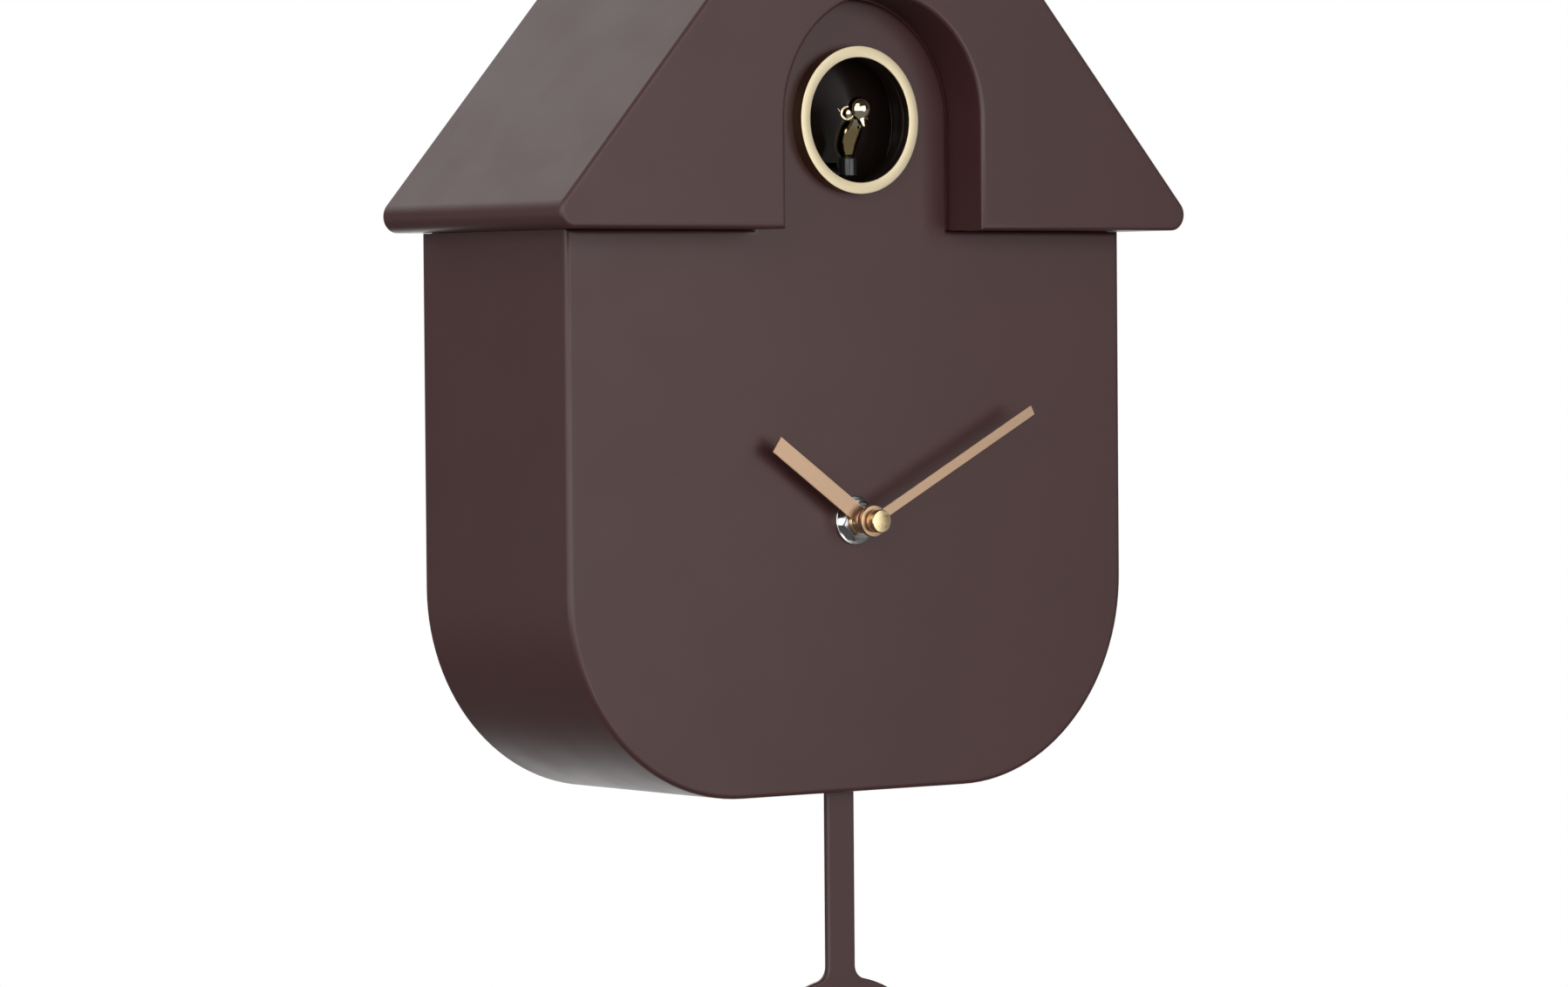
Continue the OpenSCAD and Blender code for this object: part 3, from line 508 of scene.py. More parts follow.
def makeRoof():
    bm = bmesh.new()
    r = roof["fillet"]
    rings = [ring(bm, roofFront(r + roof["flatRim"]), gableY)]
    for t in quarterTurns(6):
        rings.append(ring(bm, roofFront(r * (1 - math.sin(t))), gableY + r * (1 - math.cos(t))))
    for y in (gableY + r + roof["flatRim"], roof["recessY"]):
        rings.append(ring(bm, roofFront(0), y))
    for a, b in zip(rings, rings[1:]):
        joinRings(bm, a, b)
    fillFlat(bm, rings[0])
    count = len(roofOuter(0))
    outer, inner = [rings[-1][:count]], [ring(bm, roofOuter(roof["wall"]), roof["recessY"])]
    for y in (-0.6, 0):
        outer.append(ring(bm, roofOuter(0), y))
        inner.append(ring(bm, roofOuter(roof["wall"]), y))
    for k in range(2):
        joinRings(bm, outer[k], outer[k + 1], closed=False)
        joinRings(bm, inner[k], inner[k + 1], closed=False)
        for end in (0, -1):
            bm.faces.new((outer[k][end], outer[k + 1][end], inner[k + 1][end], inner[k][end]))
    joinRings(bm, outer[-1], inner[-1], closed=False)
    fillFlat(bm, inner[0] + rings[-1][count - 1:] + [rings[-1][0]])
    return finishMesh(bm, "house_roof", shellBrown)


houseBody = makeBody()
houseRoof = makeRoof()
for piece, node in ((houseBody, "body_shell"), (houseRoof, "roof_shell")):
    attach(piece, "case")
    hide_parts(node)
print("body and roof made")


windowRing = {"innerRadius": 17.1, "outerRadius": 20.2, "proud": 4.0, "fillet": 0.12, "segments": 144,
              "spigot": 18.05, "spigotLength": 0.9, "liningStart": 0.35, "seam": 2.8, "seamEnd": 5.4,
              "step": 0.14, "deepStep": 0.3}


def makeWindowRing():
    # gold face, and an outer wall in a darker brown copy of the gold that is painted shade; the inner wall and
    # the spigot in the panel are dark, with two fine steps
    front, back, deep = frontY - windowRing["proud"], frontY, frontY + body["wall"] + windowRing["spigotLength"]
    f, inner, outer, spigot = (windowRing[k] for k in ("fillet", "innerRadius", "outerRadius", "spigot"))
    lining, seam, seamEnd = (front + windowRing[k] for k in ("liningStart", "seam", "seamEnd"))
    stepped, deepest = inner + windowRing["step"], inner + windowRing["deepStep"]
    profile = roundedProfile([(deepest, deep, 0.1), (deepest, seamEnd, 0.1), (inner, seamEnd, 0.1),
                              (inner, seam, 0.06), (stepped, seam, 0.06), (stepped, lining, 0),
                              (inner, lining, 0), (inner, front, f), (outer, front, f), (outer, back, 0),
                              (spigot, back, 0), (spigot, deep, 0.1)])
    bm = lathe(profile, windowH, segments=windowRing["segments"])
    piece = finishMesh(bm, "window_ring_turned", windowGold)
    piece.data.materials.append(shadedRingSide)
    piece.data.materials.append(chamberBlack)
    shadedSideIndex, liningIndex = 1, 2
    limit = place(0, lining, 0).y
    for face in piece.data.polygons:
        radius = math.hypot(face.center.x, face.center.z - windowPoint[2]) / mm
        if face.center.y > limit and radius < outer - 0.5:
            face.material_index = liningIndex
        # outer wall faces take the darker copy of the gold, painted shade
        elif radius > outer - 0.05 and abs(face.normal.y) < 0.5:
            face.material_index = shadedSideIndex
    return piece


chamber = {"radius": 22.0, "wall": 1.5, "depth": 9.0, "fillet": 0.35}
leverSlot = {"half": 2.6, "low": -17.3, "high": -11.3, "inward": 1.2, "cut": 5}   # heights from the axis


def makeChamber():
    start = frontY + body["wall"]
    back, outer = start + chamber["depth"], chamber["radius"] + chamber["wall"]
    floorY = back - chamber["wall"]
    profile = roundedProfile([(outer, start, 0.2), (outer, back, 0.5), (nearAxis, back, 0),
                              (nearAxis, floorY, 0), (chamber["radius"], floorY, chamber["fillet"]),
                              (chamber["radius"], start, 0.2)])
    bm = lathe(snapToAxis(profile), windowH, segments=128, closed=False)
    edges = [e for e in bm.edges if e.is_boundary]
    bmesh.ops.bridge_loops(bm, edges=edges)
    bmesh.ops.recalc_face_normals(bm, faces=bm.faces)
    mesh = bpy.data.meshes.new("chamber")
    bm.to_mesh(mesh)
    bm.free()
    cup = bpy.data.objects.new("chamber", mesh)
    cutter = bpy.data.meshes.new("cutter")            # cuts the lever's way through the back
    cut = bmesh.new()
    bmesh.ops.create_cube(cut, size=1)
    middle, tall = (leverSlot["low"] + leverSlot["high"]) / 2, leverSlot["high"] - leverSlot["low"]
    for v in cut.verts:
        v.co = place(v.co.x * 2 * leverSlot["half"], back - leverSlot["inward"] + v.co.y * leverSlot["cut"],
                     windowH + middle + v.co.z * tall)
    cut.to_mesh(cutter)
    cut.free()
    tool = bpy.data.objects.new("cutter", cutter)
    for o in (cup, tool):
        bpy.context.scene.collection.objects.link(o)
    opening = cup.modifiers.new("opening", "BOOLEAN")
    opening.object = tool
    opening.solver = "EXACT"
    bpy.context.view_layer.update()
    result = bpy.data.meshes.new_from_object(cup.evaluated_get(bpy.context.evaluated_depsgraph_get()))
    out = bmesh.new()
    out.from_mesh(result)
    for o in (cup, tool):
        bpy.data.objects.remove(o)
    return finishMesh(out, "chamber_cup", chamberBlack, outward=False)


ringPiece = makeWindowRing()
chamberPiece = makeChamber()
for piece, node, slotName in ((ringPiece, "window_ring", "window_gold"),
                              (chamberPiece, "bird_chamber", "chamber_black")):
    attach(piece, "case")
    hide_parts(node)
print("window made")


post = {"radius": 2.65, "fillet": 0.5, "low": 169.0, "top": 173.9, "segments": 48}
lever = {"width": 4.6, "height": 169.7, "thickness": 1.4, "edge": 0.25, "hubRadius": 1.6, "hubY": frontY + 7.7}
birdY = (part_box("bird_lever")[0].y / mm) + post["radius"]
bird = {
    # (y from the post, height, radius) up the leaning back, then the head
    "spine": [(0.5, 175.6, 2.2), (0.9, 177.4, 3.0), (0.2, 179.4, 3.25), (-1.2, 181.6, 3.1), (-2.6, 183.2, 2.75),
              (-3.9, 184.6, 2.5)],
    "head": (-4.9, 187.0, 3.4), "eyeSide": 3.3, "eyeBack": 0.6, "eyeDrop": 1.15, "eyeRing": 1.75,
    "eyeRim": 0.42, "eyeBall": 1.3, "socket": 1.9,
    # tapered forms: (y, height, end radii, length, tilt); bills and tufts are placed from the head's centre
    "upperBill": (-1.75, -3.5, 1.55, 0.35, 3.6, 150), "lowerBill": (-0.5, -4.1, 1.15, 0.3, 2.8, 172),
    "tuft": (2.6, -0.7, 0.8, 0.25, 2.6, -30), "tuftSide": 4.35, "tuftSplay": 50,
    "tail": (3.0, 176.9, 1.5, 0.7, 3.6, 140),
    "wing": (2.35, -0.3, 179.7), "wingSize": 3.4, "wingForm": (0.32, 0.62, 1.15), "wingTilt": 33,
    "voxel": 0.2, "fill": 8}


def addBall(bm, centre, radius, stretch=(1, 1, 1), turn=0, detail=3):
    # ball at (x, y from the post, height), stretched, then tilted about X
    move = Matrix.Translation(place(centre[0], birdY + centre[1], centre[2]))
    tilt = Matrix.Rotation(math.radians(turn), 4, "X")
    size = Matrix.Diagonal((*[radius * mm * s for s in stretch], 1))
    bmesh.ops.create_icosphere(bm, subdivisions=detail, radius=1, matrix=move @ tilt @ size)


def addHorn(bm, form, x=0, base=(0, 0), splay=0):
    # tapered form at (x, y from the post, height), tilted about X, then splayed about Z
    y, h, r1, r2, length, turn = form
    move = Matrix.Translation(place(x, birdY + (base[0] + y), base[1] + h))
    swing, tilt = Matrix.Rotation(math.radians(splay), 4, "Z"), Matrix.Rotation(math.radians(turn), 4, "X")
    bmesh.ops.create_cone(bm, cap_ends=True, segments=24, radius1=r1 * mm, radius2=r2 * mm, depth=length * mm,
                          matrix=move @ swing @ tilt)


def makeBird():
    bm = bmesh.new()
    spine = bird["spine"]
    for a, b in zip(spine, spine[1:]):
        for k in range(bird["fill"]):
            t = k / bird["fill"]
            y, h, r = (p + (q - p) * t for p, q in zip(a, b))
            addBall(bm, (0, y, h), r, detail=4)
    hy, hh, hr = bird["head"]
    addBall(bm, (0, hy, hh), hr, detail=4)
    addHorn(bm, bird["upperBill"], base=(hy, hh))
    addHorn(bm, bird["lowerBill"], base=(hy, hh))
    wingX, wingY, wingH = bird["wing"]
    for s in (-1, 1):
        addBall(bm, (s * wingX, wingY, wingH), bird["wingSize"], bird["wingForm"], turn=bird["wingTilt"])
        socket = (s * (bird["eyeSide"] - 0.75), hy + bird["eyeBack"] + 0.5, hh - bird["eyeDrop"])
        addBall(bm, socket, bird["socket"])
        addHorn(bm, bird["tuft"], x=s * bird["tuftSide"], base=(hy, hh), splay=-s * bird["tuftSplay"])
    addHorn(bm, bird["tail"])
    mesh = bpy.data.meshes.new("bird")
    bm.to_mesh(mesh)
    bm.free()
    form = bpy.data.objects.new("bird", mesh)
    bpy.context.scene.collection.objects.link(form)
    blend = form.modifiers.new("blend", "REMESH")
    blend.mode = "VOXEL"
    blend.voxel_size = bird["voxel"] * mm
    soften = form.modifiers.new("soften", "SMOOTH")
    soften.factor = 0.6
    soften.iterations = 10
    bpy.context.view_layer.update()
    result = bpy.data.meshes.new_from_object(form.evaluated_get(bpy.context.evaluated_depsgraph_get()))
    bpy.data.objects.remove(form)
    out = bmesh.new()
    out.from_mesh(result)
    for s in (-1, 1):                                # eyes in their raised rims
        centre = place(s * bird["eyeSide"], birdY + hy + bird["eyeBack"], hh - bird["eyeDrop"])
        outward = Vector((s * 0.78, -0.62, 0.02)).normalized()
        frameTurn = Matrix.Translation(centre) @ outward.to_track_quat("Z", "Y").to_matrix().to_4x4()
        rim = bmesh.new()
        major, minor = bird["eyeRing"] * mm, bird["eyeRim"] * mm
        grid = [[rim.verts.new(frameTurn @ Vector((
            (major + minor * math.cos(v * math.tau / 12)) * math.cos(u * math.tau / 40),
            (major + minor * math.cos(v * math.tau / 12)) * math.sin(u * math.tau / 40),
            minor * math.sin(v * math.tau / 12)))) for v in range(12)] for u in range(40)]
        for u in range(40):
            joinRings(rim, grid[u], grid[(u + 1) % 40])
        bmesh.ops.create_icosphere(rim, subdivisions=4, radius=bird["eyeBall"] * mm,
                                   matrix=Matrix.Translation(centre - outward * 0.35 * mm))
        bmesh.ops.recalc_face_normals(rim, faces=rim.faces)
        joinMesh(out, rim)
    return finishMesh(out, "bird_figure", birdGold, sharpAngle=60, outward=False)


def makePost():
    f, r, top = post["fillet"], post["radius"], post["top"]
    bm = bmesh.new()
    profile = [(0, post["low"]), (r, post["low"]), (r, top - f)]
    profile += [(r - f + f * math.cos(t), top - f + f * math.sin(t)) for t in quarterTurns(3)[1:]]
    profile += [(0, top)]
    columns = [[bm.verts.new(place(q * math.cos(t), birdY + q * math.sin(t), h)) if q else None
                for q, h in profile] for t in turnAngles(post["segments"])]
    poles = [None if q else bm.verts.new(place(0, birdY, h)) for q, h in profile]
    joinColumns(bm, columns, poles)
    # lever from the post back through the chamber's wall
    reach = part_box("bird_lever")[1].y - birdY * mm
    width, height = lever["width"], lever["height"]
    bar = bmesh.new()
    bmesh.ops.create_cube(bar, size=1)
    for v in bar.verts:
        v.co = Vector((v.co.x * width * mm, birdY * mm + (v.co.y + 0.5) * reach,
                       bodyBottom + (height + v.co.z * lever["thickness"]) * mm))
    bmesh.ops.bevel(bar, geom=bar.edges, offset=lever["edge"] * mm, segments=2, affect="EDGES")
    joinMesh(bm, bar)
    hub = lathe([(0, 0), (1, 0), (1, 1), (0, 1)], 0, segments=24, closed=False)
    for v in hub.verts:                              # laid along X, about the lever's pin
        p = (v.co - place(0, 0, 0)) / mm
        v.co = Vector(((p.y - 0.5) * width * mm, (lever["hubY"] + p.x * lever["hubRadius"]) * mm,
                       bodyBottom + (height + p.z * lever["hubRadius"]) * mm))
    joinMesh(bm, hub)
    return finishMesh(bm, "bird_post", leverGrey)


birdPiece = makeBird()
postPiece = makePost()
for piece, node, slotName in ((birdPiece, "bird", "bird_gold"), (postPiece, "bird_lever", "lever_grey")):
    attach(piece, "bird_rocker")
    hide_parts(node)
print("bird made:", len(birdPiece.data.polygons), "faces")


hands = {"thickness": 0.5, "hourWidth": 4.9, "hourLength": 37.2, "hourAngle": 305.2, "hourY": frontY - 5.0,
         "minuteWidth": 2.8, "minuteLength": 63.8, "minuteAngle": 62.4, "minuteY": frontY - 8.1, "edge": 0.08,
         "hourBackY": frontY - 4.1}
cap = {"radius": 3.15, "faceRadius": 3.0, "side": 2.65, "edge": 2.9, "height": 3}
nut = {"acrossCorners": 5.77, "turn": 12, "bore": 3.95, "backY": frontY - 0.8, "thickness": 2.5, "chamfer": 25,
       "segments": 96, "faceShare": 0.97}
bush = {"inner": 2.75, "outer": 3.93, "tipY": frontY - 3.87}
washer = {"bore": 3.95, "radius": 6.7, "thickness": 0.8}


def addHandBar(bm, angle, width, length, y):
    bar = bmesh.new()
    bmesh.ops.create_cube(bar, size=1)
    t = math.radians(angle)
    along, across = Vector((math.sin(t), 0, math.cos(t))), Vector((math.cos(t), 0, -math.sin(t)))
    for v in bar.verts:
        x, depth, reach = v.co.x * width, y - hands["thickness"] * (0.5 - v.co.y), (v.co.z + 0.5) * length
        v.co = place(0, depth, axisH) + (across * x + along * reach) * mm
    bmesh.ops.bevel(bar, geom=bar.edges, offset=hands["edge"] * mm, segments=2, affect="EDGES")
    joinMesh(bm, bar)


def addTurned(bm, corners, segments=64):
    joinMesh(bm, lathe(roundedProfile(corners, 3), axisH, segments=segments))


def makeHourHand():
    bm = bmesh.new()
    y, back = hands["hourY"], hands["hourBackY"]
    addHandBar(bm, hands["hourAngle"], hands["hourWidth"], hands["hourLength"], y)
    addTurned(bm, [(2.5, back, 0), (3.6, back, 0.15), (3.6, y - 1, 0.15), (2.5, y - 1, 0.1)])
    return finishMesh(bm, "hour_hand_bar", handCopper)


def makeMinuteHand():
    bm = bmesh.new()
    y = hands["minuteY"]
    addHandBar(bm, hands["minuteAngle"], hands["minuteWidth"], hands["minuteLength"], y)
    addTurned(bm, [(2.7, y + 0.3, 0), (4.4, y + 0.3, 0.2), (4.4, y - 0.9, 0.25), (2.7, y - 0.9, 0)])
    addTurned(bm, [(1.6, y + 1.5, 0), (2.7, y + 1.5, 0.15), (2.7, y - 1.4, 0.15), (1.6, y - 1.4, 0)])
    return finishMesh(bm, "minute_hand_bar", handCopper)


def makeCap():
    y, r = hands["minuteY"] - 1.4, cap["radius"]
    profile = roundedProfile([(r, y, 0.1), (r, y - cap["side"], 0.12),
                              (cap["faceRadius"], y - cap["edge"], 0.1), (nearAxis, y - cap["height"], 0)])
    profile = [(0, y)] + snapToAxis(profile)
    return finishMesh(lathe(profile, axisH, segments=64, closed=False), "hand_cap_turned", capBrass)


def makeNut():
    # hexagon with the curved chamfer of a turned nut, and the brass end of the threaded bush in it
    bm = bmesh.new()
    flat = nut["acrossCorners"] * math.cos(math.pi / 6)
    front = nut["backY"] - nut["thickness"]
    rings = {"bore": [], "face": [], "edge": [], "back": [], "boreBack": []}
    faceRadius = flat * nut["faceShare"]
    for t in turnAngles(nut["segments"]):
        local = (t % (math.pi / 3)) - math.pi / 6
        reach = flat / math.cos(local)
        turned = t + math.radians(nut["turn"])
        ca, sa = math.cos(turned), math.sin(turned)
        sink = (reach - faceRadius) * math.tan(math.radians(nut["chamfer"]))
        for key, r, y in (("bore", nut["bore"], front), ("face", faceRadius, front),
                          ("edge", reach, front + sink), ("back", reach, nut["backY"]),
                          ("boreBack", nut["bore"], nut["backY"])):
            rings[key].append(bm.verts.new(place(r * ca, y, axisH + r * sa)))
    order = ["bore", "face", "edge", "back", "boreBack", "bore"]
    for a, b in zip(order, order[1:]):
        joinRings(bm, rings[a], rings[b])
    nutFaces = len(bm.faces)
    addTurned(bm, [(bush["inner"], front + 0.1, 0), (bush["outer"], front + 0.1, 0),
                   (bush["outer"], bush["tipY"], 0.15), (bush["inner"], bush["tipY"], 0.08)], segments=96)
    piece = finishMesh(bm, "fixing_nut_hex", chrome, sharpAngle=25)
    piece.data.materials.append(capBrass)
    for face in piece.data.polygons[nutFaces:]:
        face.material_index = 1
    return piece


def makeWasher():
    bore, r, front = washer["bore"], washer["radius"], frontY - washer["thickness"]
    profile = roundedProfile([(bore, frontY, 0), (r, frontY, 0.1), (r, front, 0.25), (bore, front, 0.1)])
    return finishMesh(lathe(profile, axisH), "fixing_washer_turned", chrome)


for piece, node, owner, slotName in (
        (makeHourHand(), "hour_hand", "hour_train", "hand_copper"),
        (makeMinuteHand(), "minute_hand", "minute_train", "hand_copper"),
        (makeCap(), "hand_cap", "minute_train", "cap_brass"),
        (makeNut(), "fixing_nut", "case", "chrome"),
        (makeWasher(), "fixing_washer", "case", "chrome")):
    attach(piece, owner)
    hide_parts(node)
print("hands and hub made")


pendulum = {"rodHalf": 4.65, "thickness": 2.0, "bobRadius": 35.0, "frontY": frontY + 7.0, "bobH": -86.6,
            "topH": 32.0, "edge": 0.45, "neck": 4.0, "pinH": 27.0, "pinRadius": 1.5, "flatRim": 0.4}


def pendulumLoop(inset):
    # disc, a small radius at the neck, and the strip
    radius, half, neck = pendulum["bobRadius"] - inset, pendulum["rodHalf"] - inset, pendulum["neck"] + inset
    cx = half + neck
    ch = math.sqrt((radius + neck) ** 2 - cx ** 2)
    touch = math.degrees(math.atan2(ch, cx))
    disc = arc(0, pendulum["bobH"], radius, 180 - touch, 360 + touch, 120)
    right = arc(cx, pendulum["bobH"] + ch, neck, 180 + touch, 180, 8)[1:]
    left = arc(-cx, pendulum["bobH"] + ch, neck, 0, -touch, 8)[:-1]
    top = pendulum["topH"] - inset
    return disc + right + [(half, top), (-half, top)] + left


def makePendulum():
    bm = bmesh.new()
    e, front, back = pendulum["edge"], pendulum["frontY"], pendulum["frontY"] + pendulum["thickness"]
    flat = e + pendulum["flatRim"]
    rings = [ring(bm, pendulumLoop(flat), front)]
    for t in quarterTurns(4):
        rings.append(ring(bm, pendulumLoop(e * (1 - math.sin(t))), front + e * (1 - math.cos(t))))
    for t in quarterTurns(4):
        rings.append(ring(bm, pendulumLoop(e * (1 - math.cos(t))), back - e * (1 - math.sin(t))))
    rings.append(ring(bm, pendulumLoop(flat), back))
    for a, b in zip(rings, rings[1:]):
        joinRings(bm, a, b)
    pin = arc(0, pendulum["pinH"], pendulum["pinRadius"], 0, 360, 24)[:-1]
    hole = [ring(bm, pin, front), ring(bm, pin, back)]
    joinRings(bm, *hole)
    fillFlat(bm, rings[0], hole[0])
    fillFlat(bm, rings[-1], hole[1])
    return finishMesh(bm, "pendulum_strip_and_disc", shellBrown)


pendulumPiece = makePendulum()
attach(pendulumPiece, "pendulum")
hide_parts("pendulum_rod", "pendulum_bob")
print("pendulum made")


screw = {"headRadius": 3.0, "headHeight": 1.7, "recess": 1.25, "shank": 1.25, "length": 10.0, "tip": 1,
         "segments": 24, "crossArm": 1.9, "crossGap": 0.75}
coverScrewPlaces = [(s * x, h) for s in (-1, 1) for x, h in ((84, 120), (60, 16), (45, 200))]
roofScrewPlaces = [(s * x, h) for s in (-1, 1) for x, h in ((62, 172), (20, 236))]


def screwShape():
    # pan head with a cross recess, head towards +Y, its underside at the origin
    bm = bmesh.new()
    r, height, shank, recess = (screw[k] * mm for k in ("headRadius", "headHeight", "shank", "recess"))
    profile = [(0, height * 0.55), (recess * 0.55, height * 0.55), (recess * 0.6, height * 0.97)]
    profile += [(r * math.sin(t), height * (0.45 + 0.55 * math.cos(t))) for t in quarterTurns(6)[3:]]
    profile += [(r, 0.02 * height), (shank, 0), (shank, -screw["length"] * mm),
                (0, -(screw["length"] + screw["tip"]) * mm)]
    columns = []
    for i, t in enumerate(turnAngles(screw["segments"])):
        cross = screw["crossGap"] if i % (screw["segments"] // 4) else screw["crossArm"]
        column = []
        for j, (q, y) in enumerate(profile):
            wide = q * (cross if j in (1, 2) else 1)         # only the recess takes the cross's form
            column.append(bm.verts.new((wide * math.cos(t), y, wide * math.sin(t))) if q else None)
        columns.append(column)
    poles = [None if q else bm.verts.new((0, y, 0)) for q, y in profile]
    joinColumns(bm, columns, poles)
    return finishMesh(bm, "screw_shape", steel, sharpAngle=30)


def addSocket(tree, name, kind, value=None, output=False):
    item = tree.interface.new_socket(name=name, in_out="OUTPUT" if output else "INPUT", socket_type=kind)
    if value is not None:
        item.default_value = value
    return item.identifier


def screwTree(shape):
    tree = bpy.data.node_groups.new("screws at points", "GeometryNodeTree")
    addSocket(tree, "Geometry", "NodeSocketGeometry")
    addSocket(tree, "Head scale", "NodeSocketFloat", 1.0)
    addSocket(tree, "Turn", "NodeSocketFloat", 1.2)              # largest turn of a head, in radians
    seed = addSocket(tree, "Seed", "NodeSocketInt", 3)
    addSocket(tree, "Geometry", "NodeSocketGeometry", output=True)
    nodes, links = tree.nodes, tree.links
    start, end = nodes.new("NodeGroupInput"), nodes.new("NodeGroupOutput")
    info = nodes.new("GeometryNodeObjectInfo")
    info.inputs["Object"].default_value = shape
    points = nodes.new("GeometryNodeInstanceOnPoints")
    angle = nodes.new("FunctionNodeRandomValue")
    angle.data_type = "FLOAT"
    turn = nodes.new("ShaderNodeCombineXYZ")
    realize, setMaterial = nodes.new("GeometryNodeRealizeInstances"), nodes.new("GeometryNodeSetMaterial")
    setMaterial.inputs["Material"].default_value = steel
    links.new(start.outputs["Geometry"], points.inputs["Points"])
    links.new(info.outputs["Geometry"], points.inputs["Instance"])
    links.new(start.outputs["Head scale"], points.inputs["Scale"])
    links.new(start.outputs["Turn"], angle.inputs[3])            # the float maximum
    links.new(start.outputs["Seed"], angle.inputs["Seed"])
    links.new(angle.outputs[1], turn.inputs["Y"])
    links.new(turn.outputs[0], points.inputs["Rotation"])
    links.new(points.outputs[0], realize.inputs[0])
    links.new(realize.outputs[0], setMaterial.inputs["Geometry"])
    links.new(setMaterial.outputs[0], end.inputs["Geometry"])
    return tree, seed


def plainCopy(holder, name):
    # turns a piece with a live node tree into a plain mesh
    bpy.context.view_layer.update()
    mesh = bpy.data.meshes.new_from_object(holder.evaluated_get(bpy.context.evaluated_depsgraph_get()))
    bpy.data.objects.remove(holder)
    mesh.name = name
    piece = bpy.data.objects.new(name, mesh)
    bpy.context.scene.collection.objects.link(piece)
    return piece


def makeScrews(name, places, y, seed):
    mesh = bpy.data.meshes.new(name + "_points")
    mesh.from_pydata([place(x, y, h) for x, h in places], [], [])
    holder = bpy.data.objects.new(name + "_points", mesh)
    bpy.context.scene.collection.objects.link(holder)
    modifier = holder.modifiers.new("screws", "NODES")
    modifier.node_group = screwGroup
    modifier[seedInput] = seed
    return plainCopy(holder, name)


screwSource = screwShape()
screwGroup, seedInput = screwTree(screwSource)
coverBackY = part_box("cover_screws")[1].y / mm - screw["headHeight"]
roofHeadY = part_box("roof_screws")[1].y / mm - screw["headHeight"]
coverScrews = makeScrews("cover_screws_set", coverScrewPlaces, coverBackY, 3)
roofScrews = makeScrews("roof_screws_set", roofScrewPlaces, roofHeadY, 8)
bpy.data.objects.remove(screwSource)
for piece, node in ((coverScrews, "cover_screws"), (roofScrews, "roof_screws")):
    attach(piece, "case")
    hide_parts(node)
print("screws made")


# looks of the CAD nodes that stay
nodeFinish = {
    "back_cover": coverBlack, "battery_door": coverBlack, "lever_weight": brassPlain, "lever_pin": steel,
    "solenoid_frame": steel, "solenoid_coil": copperZ, "solenoid_plunger": steel,
    "movement_front": movementBlack, "movement_rear": movementBlack, "hour_wheel": wheelWhite,
    "minute_arbor": wheelWhite, "motion_wheel": wheelWhite, "third_wheel": wheelWhite,
    "seconds_wheel": wheelWhite,
    "setting_knob": knobIvory, "motor_rotor": magnetGrey, "motor_stator": steel, "motor_coil": copperX,
    "movement_board": boardGreen, "clock_battery": sleeveBlue, "pendulum_hanger": leverGrey,
    "pendulum_magnet": magnetGrey, "pendulum_pin": steel, "pendulum_drive_case": movementBlack,
    "pendulum_drive_coil": copperZ, "battery_holder": movementBlack, "sound_batteries": sleeveBlue,
    "battery_contacts": steel, "sound_board": boardGreen, "sound_switch": knobIvory, "volume_knob": knobIvory,
    "speaker_frame": steel, "speaker_cone": coneBlack, "wiring": leadRed,
}
for name, material in nodeFinish.items():
    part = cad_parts[name]
    part.data.materials.clear()
    part.data.materials.append(material)
print("CAD nodes finished:", len(nodeFinish))


view = {"place": (-0.99254, -1.35127, -0.10319), "yaw": 37.0734, "down": 1.58278, "roll": -0.45571,
        "lens": 135.856, "sensor": 36}         # metres, degrees and mm


def aimCamera():
    cam = bpy.data.objects.new("camera", bpy.data.cameras.new("camera"))
    bpy.context.scene.collection.objects.link(cam)
    yaw, down, roll = (math.radians(view[k]) for k in ("yaw", "down", "roll"))
    forward = Vector((math.sin(yaw) * math.cos(down), math.cos(yaw) * math.cos(down), -math.sin(down)))
    right = Vector((math.cos(yaw), -math.sin(yaw), 0))
    up = right.cross(forward)
    right, up = right * math.cos(roll) + up * math.sin(roll), up * math.cos(roll) - right * math.sin(roll)
    turn = Matrix((right, up, -forward)).transposed().to_4x4()
    cam.matrix_world = Matrix.Translation(Vector(view["place"])) @ turn
    cam.data.lens = view["lens"]
    cam.data.sensor_width = view["sensor"]
    cam.data.clip_start, cam.data.clip_end = 0.05, 30
    bpy.context.scene.camera = cam


panels = {                                   # soft panels: degrees round from the front, degrees up, watts
    "size": 1.5, "away": 2.2, "middle": (0, -0.04, -0.13),
    "places": [(15, 5, 17.2), (-45, 5, 12.9), (-80, 5, 11.6), (-15, 5, 8.9), (-45, 35, 8.1),
               (-150, 60, 7.4), (-115, 0, 7.0), (180, 35, 4.7), (-150, 35, 4.4), (150, -32, 2.6),
               (147, -14, 8.0), (160, 8, 14.0), (105, 12, 10.0)],
}
surround = {"above": 0.03, "below": 0.16}    # faint light from all round, more from below
stage = {"floorDrop": 1.25, "floorHalf": 5.0, "floorGlow": 0.86}


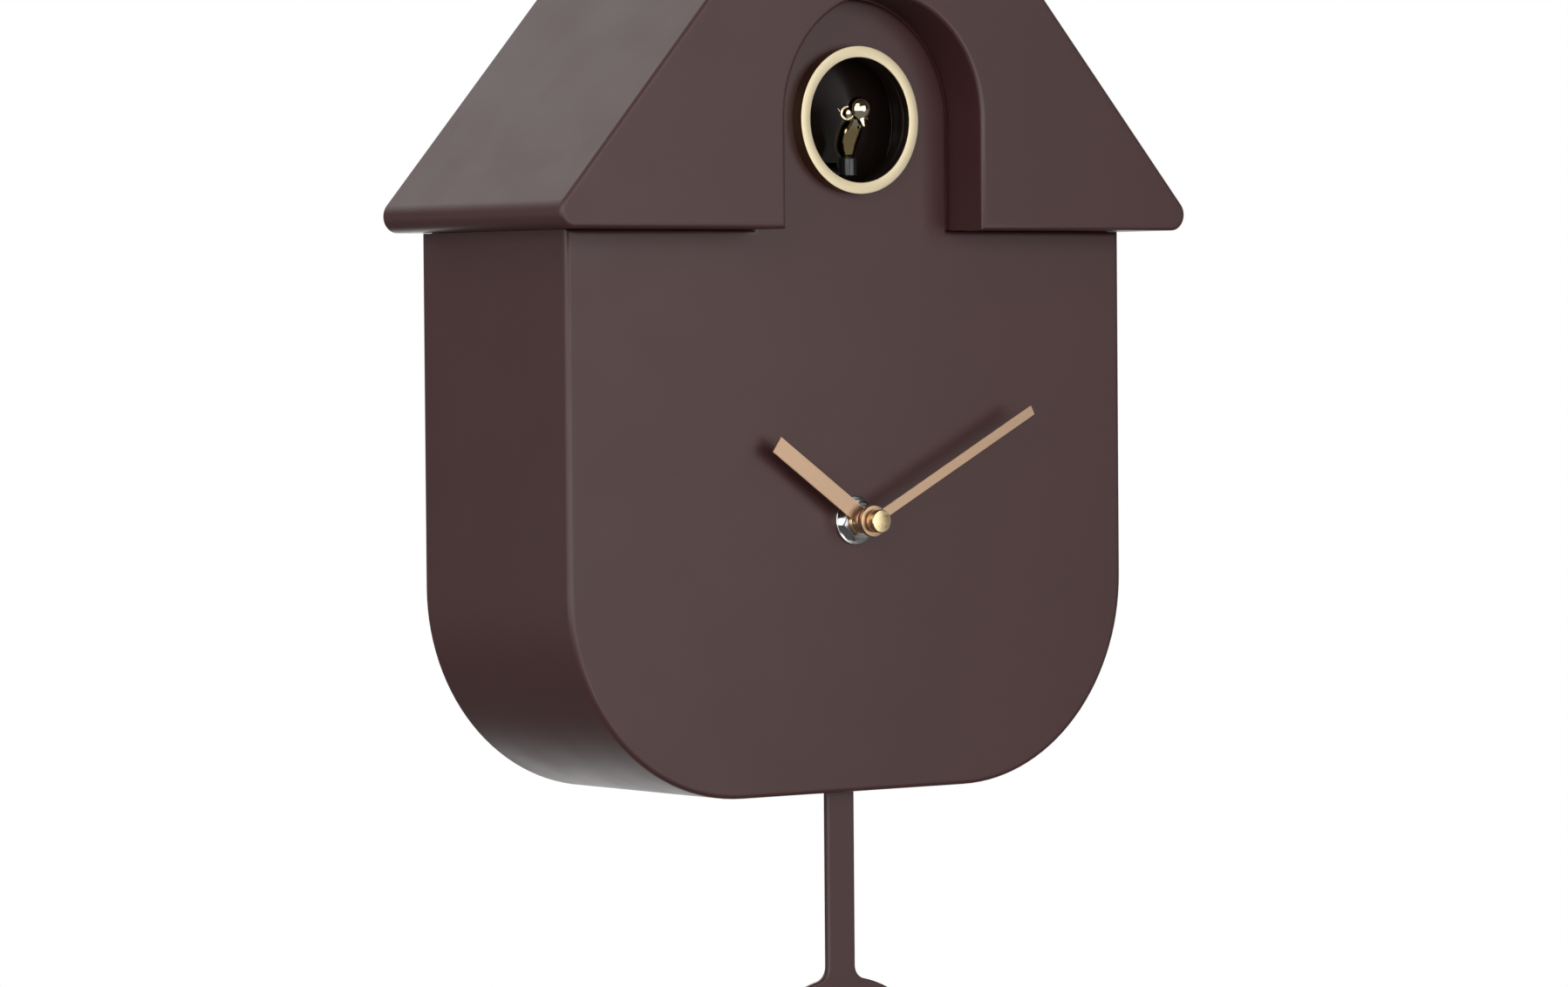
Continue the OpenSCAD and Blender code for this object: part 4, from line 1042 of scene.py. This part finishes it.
def makeLights():
    middle = Vector(panels["middle"])
    for azimuth, height, watts in panels["places"]:
        a, e = math.radians(azimuth), math.radians(height)
        direction = Vector((math.sin(a) * math.cos(e), -math.cos(a) * math.cos(e), math.sin(e)))
        data = bpy.data.lights.new("panel", "AREA")
        data.size, data.energy = panels["size"], watts
        lamp = bpy.data.objects.new("panel", data)
        lamp.location = middle + direction * panels["away"]
        lamp.rotation_euler = (-direction).to_track_quat("-Z", "Y").to_euler()
        lamp.visible_camera = False
        bpy.context.scene.collection.objects.link(lamp)


def makeSurround():
    # white to the camera, but only a faint glow on the object
    world = bpy.data.worlds.new("studio")
    world.use_nodes = True
    bpy.context.scene.world = world
    tree = world.node_tree
    coord = tree.nodes.new("ShaderNodeTexCoord")
    split = tree.nodes.new("ShaderNodeSeparateXYZ")
    tree.links.new(coord.outputs["Generated"], split.inputs[0])
    glow = remap(tree, split.outputs["Z"], surround["below"], surround["above"], -0.1, 0.1)
    path = tree.nodes.new("ShaderNodeLightPath")
    level = tree.nodes.new("ShaderNodeMapRange")
    tree.links.new(path.outputs["Is Camera Ray"], level.inputs["Value"])
    tree.links.new(glow, level.inputs["To Min"])
    tree.links.new(level.outputs["Result"], tree.nodes["Background"].inputs["Color"])


def makeStage():
    # the floor shows pale and leaves the light on the object alone
    pale, tree, shader = nodeMaterial("pale_floor", (0.1, 0.1, 0.1), 0.9)
    tint = noise(tree, objectPoint(tree), 3, 2)
    glow = stage["floorGlow"]
    shadeOfFloor = blendColors(tree, tint, (glow * 0.99,) * 3, (glow * 1.01,) * 3)
    tree.links.new(shadeOfFloor, shader.inputs["Emission Color"])
    shader.inputs["Emission Strength"].default_value = 1.0
    low, half = cadBox[0][2] - stage["floorDrop"], stage["floorHalf"]
    bm = bmesh.new()
    bm.faces.new([bm.verts.new((x * half, y * half, low)) for x, y in ((-1, -1), (1, -1), (1, 1), (-1, 1))])
    floor = finishMesh(bm, "floor", pale, outward=False)
    floor.visible_diffuse = floor.visible_glossy = floor.visible_shadow = False


aimCamera()
makeLights()
makeSurround()
makeStage()
bpy.context.scene.view_settings.view_transform = "Standard"
print("studio ready")
